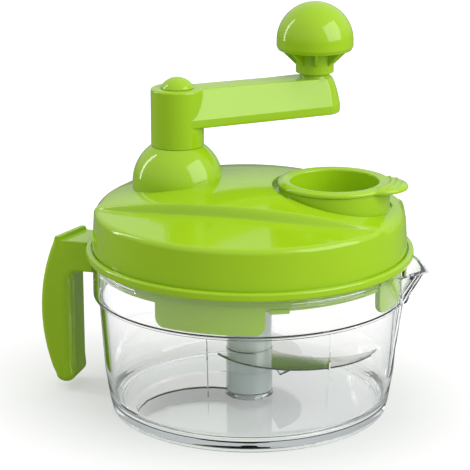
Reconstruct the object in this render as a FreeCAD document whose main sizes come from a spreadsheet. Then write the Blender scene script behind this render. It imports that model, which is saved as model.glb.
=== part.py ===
# Crank food chopper: a clear bowl with a spout and a handle, a lid that carries a crank and
# a pair of gears, three curved blades on a hub that turns on a pin in the bowl's floor, and
# a cup that plugs the feed opening in the lid.
#
# Millimetres. The bowl's axis is Z and its foot stands on Z = 0. The spout points to +X and
# the handle to -X.
import FreeCAD, Part

import math
import os
import re

import Sketcher

Vector = FreeCAD.Vector

# Driving sizes: alias, value, what it measures
SIZES = [
    # Bowl
    ("bowl_radius", 86.4, "outside of the bowl's upper band"),
    ("bowl_height", 89.0, "rim of the bowl above the table"),
    ("bowl_wall", 2.4, "wall of the bowl"),
    ("bead_depth", 0.8, "rim bead outside the band"),
    ("bead_height", 2.6, "height of the rim bead"),
    ("band_height", 23.8, "height of the bowl's upper band"),
    ("step_rise", 1.4, "slope of the step under the band"),
    ("step_depth", 2.9, "how far the step goes in under the band"),
    ("waist_taper", 3.0, "taper of the wall below the step"),
    ("knee_height", 22.0, "height of that bend"),
    ("knee_taper", 2.5, "how far the wall bends in below the knee"),
    ("heel_height", 6.0, "height of the heel"),
    ("heel_taper", 1.5, "how far the foot ring stands in"),
    ("foot_width", 3.0, "width of the foot ring"),
    ("floor_rise", 2.0, "underside of the floor above the table"),
    ("floor_thickness", 2.6, "floor of the bowl"),
    ("floor_margin", 9.6, "dished edge of the floor"),
    ("floor_round", 9.0, "round between the floor and the wall"),
    ("spout_overhang", 14.2, "tip of the spout outside the band"),
    ("spout_half_width", 18.5, "half the mouth of the spout at the wall"),
    ("spout_depth", 23.0, "bottom of the spout below the rim"),
    ("spout_dip", 5.4, "tip of the spout below the rim"),
    ("spout_gap", 0.4, "spout below the lid's lip"),
    ("rib_angle", 45.0, "middle of the first locking rib from the X axis"),
    ("rib_span_angle", 30.0, "angle of one locking rib"),
    ("rib_depth", 1.4, "locking rib inside the band"),
    ("rib_thickness", 2.0, "height of a locking rib"),
    ("rib_drop", 7.5, "underside of the locking ribs below the rim"),
    ("boss_radius", 5.5, "boss for the pivot pin"),
    ("boss_height", 5.0, "top of that boss above the floor"),
    ("pivot_radius", 3.0, "steel pivot pin"),
    ("pivot_height", 34.0, "top of the pivot pin"),
    # Handle
    ("handle_width", 25.5, "width of the handle"),
    ("finger_gap", 14.2, "room for fingers inside the grip"),
    ("handle_back_bow", 9.7, "how far the grip's back bows out"),
    ("handle_top_depth", 6.2, "depth of the grip at its top"),
    ("handle_tip_depth", 11.4, "depth of the grip at its tip"),
    ("handle_tip_height", 9.0, "where the tip begins to round"),
    ("tip_flatness", 0.5, "curve of the tip beyond a half circle"),
    ("handle_wall", 2.6, "wall of the handle"),
    ("handle_corner_round", 4.5, "rounded inner corner and edges of the grip"),
    ("handle_edge_round", 2.0, "rounded edges of its back"),
    ("block_drop", 11.0, "underside of the handle's block below the rim"),
    ("block_fit", 0.4, "gap from the block to the bowl and lid"),
    ("thumb_ridge_height", 4.6, "ridge on top of the handle"),
    ("thumb_ridge_width", 3.4, "its width at the foot"),
    ("lug_width", 16.0, "clear lug that holds the handle"),
    ("lug_inset", 2.6, "end of the clear lug inside the grip's inner face"),
    ("lug_lift", 2.8, "underside of the lug above the block's"),
    ("lug_thickness", 5.2, "height of the lug"),
    ("slide_fit", 0.3, "gap round the lug"),
    ("cover_thickness", 2.0, "plate that closes the handle"),
    ("cover_ledge", 1.2, "ledge the plate rests on"),
    ("cover_bottom", 14.0, "lower end of that plate"),
    ("cover_margin", 6.0, "top of the plate below the block"),
    # Lid
    ("flange_overhang", 3.6, "lid's flange outside the band"),
    ("deck_thickness", 3.0, "deck of the lid base"),
    ("lip_depth", 1.5, "lip of the flange below the rim"),
    ("lid_fit", 0.6, "gap between the lid and the bowl's rim"),
    ("flange_round", 1.2, "rounded edges of the flange"),
    ("skirt_drop", 9.0, "depth of the skirt"),
    ("skirt_wall", 1.8, "wall of the skirt"),
    ("tab_span_angle", 41.0, "angle of one tab"),
    ("tab_drop", 21.5, "depth of the tabs"),
    ("tab_round", 5.0, "rounded lower corners of the tabs"),
    ("catch_span_angle", 7.0, "angle of one locking catch"),
    ("catch_height", 2.4, "height of a locking catch"),
    ("catch_lead_angle", 0.8, "angle from a catch to its rib before the lid is locked"),
    ("shell_inset", 3.4, "lid shell inside the flange"),
    ("shell_taper", 1.6, "how far its wall leans in"),
    ("shell_thickness", 2.2, "wall of the lid shell"),
    ("groove_depth", 1.4, "groove in the flange for the shell's foot"),
    ("groove_gap", 0.6, "open groove outside the shell"),
    ("dome_rise", 38.0, "top of the lid above its deck"),
    ("dome_bulge", 15.53, "how far the lid's dome bulges"),
    ("shoulder_round", 10.5, "rounded shoulder at the ends"),
    ("crease_rise", 21.5, "wall under the side hollows above the deck"),
    ("hollow_slope", 0.17, "rise of the side hollows per millimetre inward"),
    ("hollow_curve", 172.6, "plan curve of the ridge beside the hollows"),
    ("ridge_half_width", 47.6, "half the width of the raised ridge"),
    ("ridge_draft", 0.29, "lean of the ridge's sides"),
    # Feed opening and cup
    ("feed_clearance", 17.2, "feed collar from the bowl's axis"),
    ("feed_margin", 5.6, "feed collar inside the lid's inner wall"),
    ("collar_wall", 3.6, "collar round the feed opening"),
    ("collar_drop", 1.0, "collar below the dome's top"),
    ("pocket_gap", 3.4, "recess round the collar"),
    ("pocket_drop", 3.5, "floor of the recess below the dome's top"),
    ("cup_overhang", 0.8, "flange of the feed cup outside the collar"),
    ("cup_flange_thickness", 2.5, "its thickness"),
    ("cup_depth", 22.0, "depth of the feed cup"),
    ("cup_wall", 1.9, "wall of the feed cup"),
    ("cup_fit", 0.6, "gap from the cup to the opening"),
    ("cup_taper", 1.0, "taper of the cup"),
    ("cup_tab_length", 9.2, "grip tab outside the flange"),
    ("cup_tab_round", 17.0, "round end of the grip tab"),
    ("grip_ridge_pitch", 3.2, "spacing of the ridges on the tab"),
    ("grip_ridge_height", 0.8, "height of those ridges"),
    ("grip_ridge_width", 1.4, "their width"),
    # Crank tower and gears
    ("gear_module", 1.0, "module of the gears"),
    ("backlash", 0.22, "play between the teeth"),
    ("gear_face", 8.0, "height of the gears"),
    ("bell_radius", 25.0, "dome under the crank"),
    ("bell_rise", 33.0, "centre of that dome above the deck"),
    ("bell_cap", 20.4, "flat top of that dome above its centre"),
    ("spindle_radius", 5.5, "crank spindle"),
    ("spindle_foot_radius", 4.0, "its lower end"),
    ("spindle_hex", 9.0, "its six-sided head across the flats"),
    ("head_recess", 4.7, "recess for the crank screw's head"),
    ("collar_flange", 3.0, "collar on the spindle"),
    ("bush_wall", 2.5, "wall of the bushes"),
    ("bush_flange", 2.0, "flange of the bushes"),
    ("bush_flange_thickness", 1.5, "thickness of that flange"),
    ("bush_length", 17.9, "spindle bush above its flange"),
    ("housing_wall", 2.8, "housing round a bush"),
    ("foot_boss_height", 6.0, "boss under the spindle"),
    ("foot_boss_wall", 4.0, "wall of that boss"),
    ("washer_thickness", 0.8, "thrust washer under the crank gear"),
    ("gear_hub_radius", 10.0, "hub of the crank gear"),
    ("gear_hub_height", 6.0, "height of that hub"),
    ("gear_pin_radius", 1.5, "pin through the crank gear's hub"),
    ("journal_radius", 8.0, "journal of the drive pinion"),
    ("journal_below", 3.2, "journal below its bush"),
    ("socket_hex", 9.4, "socket for the blade shaft across the flats"),
    ("socket_depth", 16.0, "depth of that socket"),
    ("boss_below_deck", 9.0, "pinion boss below the deck"),
    ("boss_above_deck", 3.5, "pinion boss above the deck"),
    ("clip_thickness", 1.0, "clip on the pinion's journal"),
    ("clip_groove", 1.0, "groove for that clip"),
    ("clip_rim", 1.4, "clip outside the journal"),
    ("screw_radius", 1.5, "self-tapping screws"),
    ("screw_head_radius", 3.0, "their heads"),
    ("screw_head_height", 2.0, "height of a head"),
    ("screw_length", 14.0, "thread of the lid screws"),
    ("screw_inset", 12.6, "lid screws inside the shell's foot"),
    ("screw_angle", 50.0, "lid screws from the X axis"),
    ("post_wall", 2.5, "wall of the screw posts"),
    ("shaft_fit", 0.05, "running fit, radius"),
    ("running_gap", 0.2, "gap between turning faces"),
    # Crank
    ("crank_reach", 83.0, "knob's axis from the crank's axis"),
    ("crank_angle", 39.0, "where the crank stands at rest"),
    ("hub_radius", 14.5, "hub of the crank"),
    ("hub_height", 31.6, "height of the crank's hub"),
    ("hub_gap", 0.3, "hub above the tower"),
    ("hub_wall", 2.4, "wall of the hub"),
    ("hub_tube_radius", 8.6, "tube that grips the spindle"),
    ("hub_web", 3.0, "web under the screw's head"),
    ("arm_depth", 20.5, "depth of the arm"),
    ("arm_flare", 2.5, "end of the arm, further out at its foot than at its top"),
    ("arm_cover_thickness", 3.0, "plate under the arm"),
    ("arm_drop", 0.3, "top of the arm below the hub's"),
    ("arm_half_width", 12.0, "half the arm's width at its foot"),
    ("arm_half_top", 7.5, "half the width of its top"),
    ("arm_wall", 2.4, "wall of the arm"),
    ("arm_end_web", 12.0, "solid end of the arm round the knob pin"),
    ("cap_radius", 9.3, "domed cap on the hub"),
    ("cap_height", 5.9, "height of that cap"),
    ("cap_wall", 1.0, "ring under the cap"),
    ("crank_screw_radius", 2.0, "screw down the spindle"),
    ("crank_screw_length", 14.0, "its thread in the spindle"),
    ("crank_screw_head", 4.2, "its head"),
    ("crank_screw_head_height", 2.2, "height of that head"),
    # Knob
    ("neck_radius", 8.3, "neck on the arm"),
    ("neck_flare", 1.0, "flare at the foot of the neck"),
    ("neck_height", 2.2, "height of the neck"),
    ("knob_radius", 21.5, "outside of the knob"),
    ("knob_lift", 12.8, "tube of the knob below its dome"),
    ("knob_chamfer", 2.0, "chamfer at that edge"),
    ("knob_skirt", 5.3, "straight side of the knob"),
    ("knob_wall", 2.4, "wall of the knob"),
    ("knob_plate", 2.2, "plate that closes the knob"),
    ("knob_tube_radius", 10.65, "tube of the knob"),
    ("tube_rise", 13.3, "tube inside the knob above its edge"),
    ("gusset_height", 7.0, "gussets under the knob"),
    ("gusset_thickness", 1.8, "thickness of a gusset"),
    ("knob_pin_radius", 4.0, "shoulder of the knob pin"),
    ("knob_thread_radius", 2.5, "thread of the knob pin"),
    ("knob_thread_length", 12.0, "its length"),
    ("knob_pin_head", 7.0, "head of the knob pin"),
    ("knob_pin_head_height", 3.0, "height of that head"),
    ("knob_washer_thickness", 0.8, "washer under that head"),
    # Blades
    ("shaft_radius", 12.5, "upper shaft of the blade unit"),
    ("shaft_drop", 0.8, "shoulder of the blade shaft below the pinion"),
    ("shaft_hex", 9.0, "its six-sided end across the flats"),
    ("core_radius", 8.0, "core that the blades slide on"),
    ("hub_spacer_radius", 13.0, "sleeves between the blades"),
    ("foot_gap", 0.6, "blade unit above the floor"),
    ("foot_thickness", 2.8, "ring under the lowest blade"),
    ("foot_flare", 0.6, "how far that ring stands out"),
    ("blade_thickness", 1.2, "blade steel"),
    ("blade_clearance", 7.1, "blade tips from the wall"),
    ("blade_pitch", 12.0, "height from blade to blade"),
    ("blade_heel", 16.6, "inner point of a blade behind the axis"),
    ("blade_heel_side", 13.2, "that point beside the axis"),
    ("blade_bow", 29.2, "how far the cutting edge bows out"),
    ("blade_back_bow", 11.0, "how far the back of the blade bows"),
    ("blade_root", 18.0, "where the back meets the neck, along the blade"),
    ("blade_root_side", 10.0, "the same point beside the axis"),
    ("blade_notch", 5.7, "notch between the neck and the heel, along the blade"),
    ("blade_notch_side", 14.6, "the same notch beside the axis"),
    ("blade_ring", 4.4, "ring of a blade round the core"),
    ("blade_step_angle", 108.5, "angle from blade to blade"),
    ("blade_start_angle", 11.0, "tip of the upper blade at rest"),
]

# Tooth counts and numbers of like features
CRANK_TEETH = 57
PINION_TEETH = 25
GUSSETS = 8
QUARTERS = 4
GRIP_RIDGES = 3
PRESSURE_ANGLE = math.radians(20)
TOOTH_TIP = 0.95  # modules outside the pitch circle
TOOTH_ROOT = 1.2  # modules inside it
NEAR = 0.01  # millimetres within which two places are the same

# Sizes that follow from the driving ones
PLACES = {
    "handle_top": "deck_top + thumb_ridge_height",
    "handle_back_chord": "sqrt((handle_top - handle_tip_height) ^ 2 + (handle_tip_reach - handle_top_reach) ^ 2)",
    "handle_outer_radius": "((handle_back_bow ^ 2 + (handle_back_chord / 2) ^ 2) / (2 * handle_back_bow))",
    "step_height": "bowl_height - band_height",
    "waist_radius": "bowl_radius - step_depth",
    "knee_radius": "waist_radius - waist_taper",
    "heel_radius": "knee_radius - knee_taper",
    "foot_radius": "heel_radius - heel_taper",
    "floor_radius": "heel_radius - bowl_wall - floor_margin",
    "spout_reach": "bowl_radius + spout_overhang",
    "spout_root": "bowl_height - spout_depth",
    "spout_tip_height": "bowl_height - spout_dip",
    "rib_height": "bowl_height - rib_drop",
    "handle_inner": "bowl_radius + finger_gap",
    "handle_top_reach": "handle_inner + handle_top_depth",
    "handle_tip_reach": "handle_inner + handle_tip_depth",
    "handle_tip_round": "handle_tip_depth / 2 + tip_flatness",
    "block_bottom": "bowl_height - block_drop",
    "lug_reach": "handle_inner - lug_inset",
    "lug_bottom": "block_bottom + lug_lift",
    "cover_length": "block_bottom - cover_margin - cover_bottom",
    "flange_radius": "bowl_radius + flange_overhang",
    "skirt_bottom": "bowl_height - skirt_drop",
    "tab_bottom": "bowl_height - tab_drop",
    "shell_radius": "flange_radius - shell_inset",
    "dome_top": "deck_top + dome_rise",
    "crease_height": "deck_top + crease_rise",
    "feed_offset": "feed_clearance + collar_radius",
    "feed_radius": "collar_radius - collar_wall",
    "collar_top": "dome_top - collar_drop",
    "pocket_floor": "dome_top - pocket_drop",
    "cup_flange_radius": "collar_radius + cup_overhang",
    "cup_tab_reach": "cup_flange_radius + cup_tab_length",
    "bell_centre": "deck_top + bell_rise",
    "bell_top": "bell_centre + bell_cap",
    "hex_height": "hub_top - head_recess - hub_web - running_gap - hex_bottom",
    "screw_circle": "shell_radius - screw_inset",
    "hub_top": "hub_bottom + hub_height",
    "arm_top": "hub_top - arm_drop",
    "arm_bottom": "arm_top - arm_depth",
    "knob_edge": "knob_bottom + knob_lift",
    "knob_top": "knob_edge + knob_skirt + knob_radius",
    "knob_tube_top": "knob_edge + tube_rise",
    "shaft_top": "journal_bottom - shaft_drop",
    "blade_reach": "knee_radius - bowl_wall - blade_clearance",
    "collar_radius": "(inner_wall - feed_margin - feed_clearance) / 2",
    "band_inner": "bowl_radius - bowl_wall",
    "bead_top": "lip_bottom - running_gap",
    "floor_top": "floor_rise + floor_thickness",
    "lip_bottom": "bowl_height - lip_depth",
    "deck_bottom": "bowl_height",
    "deck_top": "bowl_height + deck_thickness",
    "skirt_outer": "band_inner - rib_depth - lid_fit / 2",
    "skirt_inner": "skirt_outer - skirt_wall",
    "catch_top": "rib_height - running_gap",
    "tab_outer": "band_inner - lid_fit",
    "spout_top": "lip_bottom - spout_gap",
    "spout_slope": "(spout_reach - bowl_radius) / (spout_tip_height - spout_root)",
    "spout_top_reach": "bowl_radius + (bowl_height - spout_root) * spout_slope",
    "block_inner": "bowl_radius + bead_depth + block_fit",
    "block_clear": "flange_radius + block_fit",
    "block_step": "lip_bottom - block_fit",
    "lug_top": "lug_bottom + lug_thickness",
    "cover_top": "cover_bottom + cover_length",
    "ledge_reach": "handle_inner + cover_thickness",
    "shell_foot": "deck_top - groove_depth",
    "shoulder_radius": "shell_radius - shell_taper",
    "dome_edge": "dome_top - dome_bulge",
    "dome_curve": "((shoulder_radius ^ 2 + dome_bulge ^ 2) / (2 * dome_bulge))",
    "crease_radius": "shell_radius - shell_taper * (crease_height - shell_foot) / (dome_edge - shell_foot)",
    "hollow_peak": "crease_height + crease_radius * hollow_slope",
    "hollow_centre": "hollow_curve - ridge_half_width",
    "inner_wall": "shoulder_radius - shell_thickness",
    "inner_shoulder": "crease_height - shell_thickness - 0.6 * shoulder_round",
    "inner_dome_curve": "dome_curve - shell_thickness",
    "inner_dome_top": "dome_top - shell_thickness",
    "inner_corner": "inner_wall - 0.65 * shoulder_round",
    "inner_dome_edge": "inner_dome_top - inner_dome_curve + sqrt(inner_dome_curve ^ 2 - inner_corner ^ 2)",
    "inner_hollow_edge": "hollow_peak - shell_thickness - inner_corner * hollow_slope",
    "pocket_radius": "collar_radius + pocket_gap",
    "cup_top": "collar_top + cup_flange_thickness",
    "cup_bottom": "cup_top - cup_depth",
    "cup_outer": "feed_radius - cup_fit",
    "crank_pitch": "gear_module * %d / 2" % CRANK_TEETH,
    "pinion_pitch": "gear_module * %d / 2" % PINION_TEETH,
    "gear_centres": "crank_pitch + pinion_pitch",
    "bell_top_radius": "sqrt(bell_radius ^ 2 - (bell_top - bell_centre) ^ 2)",
    "bell_inner": "bell_radius - shell_thickness",
    "bell_inner_top": "bell_top - shell_thickness",
    "bell_inner_radius": "sqrt(bell_inner ^ 2 - (bell_inner_top - bell_centre) ^ 2)",
    "foot_boss_top": "deck_top + foot_boss_height",
    "gear_bottom": "foot_boss_top + washer_thickness",
    "gear_top": "gear_bottom + gear_face",
    "spindle_bore": "spindle_radius + shaft_fit",
    "bush_outer": "spindle_bore + bush_wall",
    "bush_bottom": "bell_top - bush_length",
    "bush_lowest": "bush_bottom - bush_flange_thickness",
    "hex_bottom": "bell_top",
    "hex_top": "hex_bottom + hex_height",
    "journal_bore": "journal_radius + shaft_fit",
    "pinion_bush_outer": "journal_bore + bush_wall",
    "pinion_boss_bottom": "deck_bottom - boss_below_deck",
    "pinion_boss_top": "deck_top + boss_above_deck",
    "pinion_bottom": "pinion_boss_top + bush_flange_thickness + running_gap",
    "journal_bottom": "pinion_boss_bottom - journal_below",
    "clip_top": "pinion_boss_bottom - running_gap",
    "clip_bottom": "clip_top - clip_thickness",
    "post_radius": "screw_radius + post_wall",
    "post_top": "hollow_peak - screw_circle * hollow_slope - shell_thickness / 2",
    "hub_bottom": "bell_top + hub_gap",
    "socket_top": "hex_top + running_gap",
    "web_top": "socket_top + hub_web",
    "arm_foot": "arm_bottom + arm_cover_thickness",
    "cavity_start": "hub_radius + arm_wall",
    "cavity_end": "crank_reach - arm_end_web",
    "cavity_foot": "arm_half_width - arm_wall",
    "cavity_narrow": "arm_half_top - arm_wall",
    "cavity_top": "arm_top - arm_wall",
    "arm_screw_near": "cavity_start + post_radius + post_wall",
    "arm_screw_far": "cavity_end - post_radius - post_wall",
    "knob_x": "crank_reach * cos(crank_angle) - gear_centres",
    "knob_y": "crank_reach * sin(crank_angle)",
    "neck_top": "arm_top + neck_height",
    "knob_bottom": "neck_top + running_gap",
    "knob_plate_bottom": "knob_edge - knob_plate",
    "knob_inner": "knob_radius - knob_wall",
    "knob_centre": "knob_top - knob_radius",
    "knob_pin_top": "knob_tube_top + knob_washer_thickness + running_gap",
    "foot_bottom": "floor_top + foot_gap",
    "blade_low": "foot_bottom + foot_thickness",
    "spacer_height": "blade_pitch - blade_thickness",
    "shaft_bottom": "blade_low + 2 * blade_pitch + blade_thickness",
    "shaft_end": "journal_bottom + socket_depth - 2 * running_gap",
}

doc = FreeCAD.newDocument("FoodChopper")
sheet = doc.addObject("Spreadsheet::Sheet", "Sizes")
for row, (alias, value, meaning) in enumerate(SIZES, start=1):
    sheet.set("A%d" % row, alias)
    sheet.set("B%d" % row, str(value))
    sheet.setAlias("B%d" % row, alias)
    sheet.set("C%d" % row, meaning)
doc.recompute()

ALIASES = {alias for alias, value, meaning in SIZES}
SUBPARTS = []


def full(text):
    """Spell out a size rule as an expression of the sheet's cells."""
    def spell(match):
        word = match.group(0)
        if word in PLACES:
            return "(" + full(PLACES[word]) + ")"
        if word in ALIASES:
            return "Sizes." + word
        return word
    return re.sub(r"[a-z_][a-z0-9_]*", spell, text)


def num(text):
    """The value of a size rule, in millimetres or degrees."""
    return float(sheet.evalExpression(full(text)))


def bind(item, **rules):
    """Bind properties to size rules; x, y, z and angle are the item's place."""
    paths = {"x": "Placement.Base.x", "y": "Placement.Base.y", "z": "Placement.Base.z",
             "angle": "Placement.Rotation.Angle"}
    for name, rule in rules.items():
        item.setExpression(paths.get(name, name), full(rule))
    return item


def subpart(item, name):
    """Name a finished sub-part."""
    item.Label = name
    SUBPARTS.append(item)
    return item


# Solids

def cylinder(name, radius, height, x="0", y="0", z="0"):
    item = doc.addObject("Part::Cylinder", name)
    return bind(item, Radius=radius, Height=height, x=x, y=y, z=z)


def cone(name, bottom_radius, top_radius, height, x="0", y="0", z="0"):
    item = doc.addObject("Part::Cone", name)
    return bind(item, Radius1=bottom_radius, Radius2=top_radius, Height=height, x=x, y=y, z=z)


def box(name, length, width, height, x="0", y="0", z="0"):
    item = doc.addObject("Part::Box", name)
    return bind(item, Length=length, Width=width, Height=height, x=x, y=y, z=z)


def prism(name, across_flats, height, x="0", y="0", z="0"):
    """A six-sided bar, sized across its flats."""
    item = doc.addObject("Part::Prism", name)
    item.Polygon = 6
    return bind(item, Circumradius="(%s) / sqrt(3)" % across_flats, Height=height, x=x, y=y, z=z)


def fuse(name, items):
    item = doc.addObject("Part::MultiFuse", name)
    item.Shapes = items
    item.Refine = True
    return item


def common(name, first, second):
    item = doc.addObject("Part::Common", name)
    item.Base = first
    item.Tool = second
    return item


def cut(name, base, tools):
    item = doc.addObject("Part::Cut", name)
    item.Base = base
    item.Tool = tools[0] if len(tools) == 1 else fuse(name + "Tools", tools)
    item.Refine = True
    return item


# Sketched bodies

def side(here, there, radius):
    """One side of an outline: straight, or an arc whose centre lies left (+) or right (-)."""
    if radius is None:
        return Part.LineSegment(here, there)
    half = (there - here) * 0.5
    rise = math.sqrt(max(radius ** 2 - half.Length ** 2, 0.0))
    left = Vector(-half.y, half.x, 0).normalize()
    turn = 1 if radius > 0 else -1
    centre = here + half + left * (rise * turn)
    first, last = (here, there) if radius > 0 else (there, here)
    start = math.atan2(first.y - centre.y, first.x - centre.x)
    end = math.atan2(last.y - centre.y, last.x - centre.x)
    return Part.ArcOfCircle(Part.Circle(centre, Vector(0, 0, 1), abs(radius)), start, end)


def outline(body, plane, corners):
    """A closed sketch. A corner is (across, up) or, where an arc leaves it, (across, up, radius)."""
    sketch = body.newObject("Sketcher::SketchObject", body.Name + "Outline")
    origin_plane = [item for item in body.Origin.OriginFeatures if item.Role == plane][0]
    sketch.AttachmentSupport = [(origin_plane, "")]
    sketch.MapMode = "FlatFace"
    points = [Vector(num(corner[0]), num(corner[1]), 0) for corner in corners]
    ends = []
    for index, corner in enumerate(corners):
        following = points[(index + 1) % len(points)]
        radius = num(corner[2]) if len(corner) == 3 else None
        sketch.addGeometry(side(points[index], following, radius), False)
        ends.append((2, 1) if radius is not None and radius < 0 else (1, 2))
    for index in range(len(corners)):
        after = (index + 1) % len(corners)
        sketch.addConstraint(Sketcher.Constraint("Coincident", index, ends[index][1],
                                                 after, ends[after][0]))
    for index, corner in enumerate(corners):
        start = ends[index][0]
        for kind, rule, axis in (("DistanceX", corner[0], -2), ("DistanceY", corner[1], -1)):
            if rule == "0":
                sketch.addConstraint(Sketcher.Constraint("PointOnObject", index, start, axis))
                continue
            count = sketch.addConstraint(Sketcher.Constraint(kind, -1, 1, index, start, num(rule)))
            sketch.setExpression("Constraints[%d]" % count, full(rule))
        if len(corner) == 3:
            rule = corner[2].lstrip("-")
            count = sketch.addConstraint(Sketcher.Constraint("Radius", index, num(rule)))
            sketch.setExpression("Constraints[%d]" % count, full(rule))
    return sketch


def lathe(name, corners, angle="360", x="0", y="0"):
    """A body turned about Z from a half outline of (radius, height) corners."""
    body = doc.addObject("PartDesign::Body", name)
    sketch = outline(body, "XZ_Plane", corners)
    turned = body.newObject("PartDesign::Revolution", name + "Turned")
    turned.Profile = sketch
    turned.ReferenceAxis = (sketch, ["V_Axis"])
    turned.Midplane = angle != "360"
    bind(turned, Angle=angle)
    return bind(body, x=x, y=y)


def padded(name, plane, corners, length, symmetric=False):
    """A body pushed out from an outline."""
    body = doc.addObject("PartDesign::Body", name)
    pad = body.newObject("PartDesign::Pad", name + "Pad")
    pad.Profile = outline(body, plane, corners)
    pad.Midplane = symmetric
    bind(pad, Length=length)
    return body


def loft(name, lower, upper, height):
    """A ruled body between an outline on the XY plane and one above it."""
    body = doc.addObject("PartDesign::Body", name)
    first = outline(body, "XY_Plane", lower)
    second = outline(body, "XY_Plane", upper)
    second.setExpression("AttachmentOffset.Base.z", full(height))
    skin = body.newObject("PartDesign::AdditiveLoft", name + "Loft")
    skin.Profile = first
    skin.Sections = [second]
    skin.Ruled = True
    return body


def rounded(body, radius, wanted):
    """Round the edges of a body's last feature that the test picks."""
    doc.recompute()
    base = body.Tip
    names = ["Edge%d" % (index + 1) for index, edge in enumerate(base.Shape.Edges) if wanted(edge)]
    fillet = body.newObject("PartDesign::Fillet", base.Name + "Round")
    fillet.Base = (base, names)
    bind(fillet, Radius=radius)
    return body


def ring_at(radius, height):
    """A test for the round edge of that radius and height."""
    wanted_radius = num(radius)
    wanted_height = num(height)

    def test(edge):
        if edge.Degenerated or edge.Curve.TypeId != "Part::GeomCircle":
            return False
        circle = edge.Curve
        return abs(circle.Radius - wanted_radius) < NEAR and abs(circle.Center.z - wanted_height) < NEAR
    return test


def turned_about_z(item, angle):
    """Turn an item about the Z axis by a size rule."""
    item.Placement.Rotation = FreeCAD.Rotation(Vector(0, 0, 1), 1)
    return bind(item, angle=angle)


def stadium(start, end, half_width):
    """Outline along X: square at the start, round about the end."""
    beyond = "%s + 0.2 * (%s)" % (end, half_width)
    curve = "(%s) * sqrt(1 + 0.2 ^ 2)" % half_width
    return [(start, "-(%s)" % half_width), (beyond, "-(%s)" % half_width, curve),
            (beyond, half_width), (start, half_width)]


# Bowl

def make_bowl():
    body = lathe("BowlVessel", [
        ("0", "floor_rise"),
        ("foot_radius - foot_width", "floor_rise"),
        ("foot_radius - foot_width", "0"),
        ("foot_radius", "0"),
        ("heel_radius", "heel_height"),
        ("knee_radius", "knee_height"),
        ("waist_radius", "step_height - step_rise / 2"),
        ("bowl_radius", "step_height + step_rise / 2"),
        ("bowl_radius", "bead_top - bead_height - bead_depth"),
        ("bowl_radius + bead_depth", "bead_top - bead_height"),
        ("bowl_radius + bead_depth", "bead_top"),
        ("bowl_radius", "bead_top"),
        ("bowl_radius", "bowl_height"),
        ("band_inner", "bowl_height"),
        ("band_inner", "step_height + 1.5 * step_rise"),
        ("waist_radius - bowl_wall", "step_height + step_rise / 2"),
        ("knee_radius - bowl_wall", "knee_height"),
        ("heel_radius - bowl_wall", "floor_top + floor_round / 2"),
        ("floor_radius", "floor_top"),
        ("0", "floor_top"),
    ])
    rounded(body, "floor_round", ring_at("heel_radius - bowl_wall", "floor_top + floor_round / 2"))

    wall = "(band_inner - bowl_wall)"
    outer = loft("SpoutOuter",
                 [(wall, "-bowl_wall"), ("bowl_radius + bowl_wall / 2", "0"), (wall, "bowl_wall")],
                 [(wall, "-spout_half_width - bowl_wall"), ("spout_top_reach", "0"),
                  (wall, "spout_half_width + bowl_wall")],
                 "bowl_height - spout_root + bowl_wall")
    bind(outer, z="spout_root - bowl_wall")
    inner = loft("SpoutInner",
                 [(wall, "-bowl_wall / 4"), ("band_inner", "0"), (wall, "bowl_wall / 4")],
                 [(wall, "-spout_half_width"), ("spout_top_reach - 1.6 * bowl_wall", "0"),
                  (wall, "spout_half_width")],
                 "bowl_height - spout_root")
    bind(inner, z="spout_root")
    lid_room = padded("SpoutTop", "XZ_Plane", [
        (wall, "spout_top"),
        ("bowl_radius", "spout_top"),
        ("spout_reach", "spout_tip_height"),
        ("spout_top_reach + bowl_wall", "spout_tip_height"),
        ("spout_top_reach + bowl_wall", "bowl_height + bowl_wall"),
        (wall, "bowl_height + bowl_wall"),
    ], "4 * spout_half_width", symmetric=True)
    room = cylinder("SpoutRoom", "band_inner", "bowl_height", z="floor_top")
    beak = cut("SpoutBeak", outer, [lid_room, room])

    ribs = []
    for quarter in range(QUARTERS):
        rib = lathe("LockRib%d" % quarter, [
            ("band_inner - rib_depth", "rib_height"),
            ("band_inner + bowl_wall / 2", "rib_height"),
            ("band_inner + bowl_wall / 2", "rib_height + rib_thickness"),
            ("band_inner - rib_depth", "rib_height + rib_thickness"),
        ], angle="rib_span_angle")
        ribs.append(turned_about_z(rib, "rib_angle + %d" % (90 * quarter)))
    boss = cylinder("PivotBoss", "boss_radius", "floor_thickness / 2 + boss_height",
                    z="floor_top - floor_thickness / 2")
    lug = box("HandleLug", "lug_reach - band_inner - bowl_wall / 2", "lug_width", "lug_thickness",
              x="-lug_reach", y="-lug_width / 2", z="lug_bottom")
    pin_hole = cylinder("PivotHole", "pivot_radius", "pivot_height", z="floor_rise + floor_thickness / 2")
    screw_hole = cylinder("LugScrewHole", "screw_radius", "lug_thickness",
                          x="-(block_inner + lug_reach) / 2", z="lug_bottom")
    solid = fuse("BowlSolid", [body, beak, boss, lug] + ribs)
    subpart(cut("Bowl", solid, [inner, pin_hole, screw_hole]), "bowl")
    pin = cylinder("PivotPin", "pivot_radius", "pivot_height - floor_rise - floor_thickness / 2",
                   z="floor_rise + floor_thickness / 2")
    subpart(pin, "pivot_pin")


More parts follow.
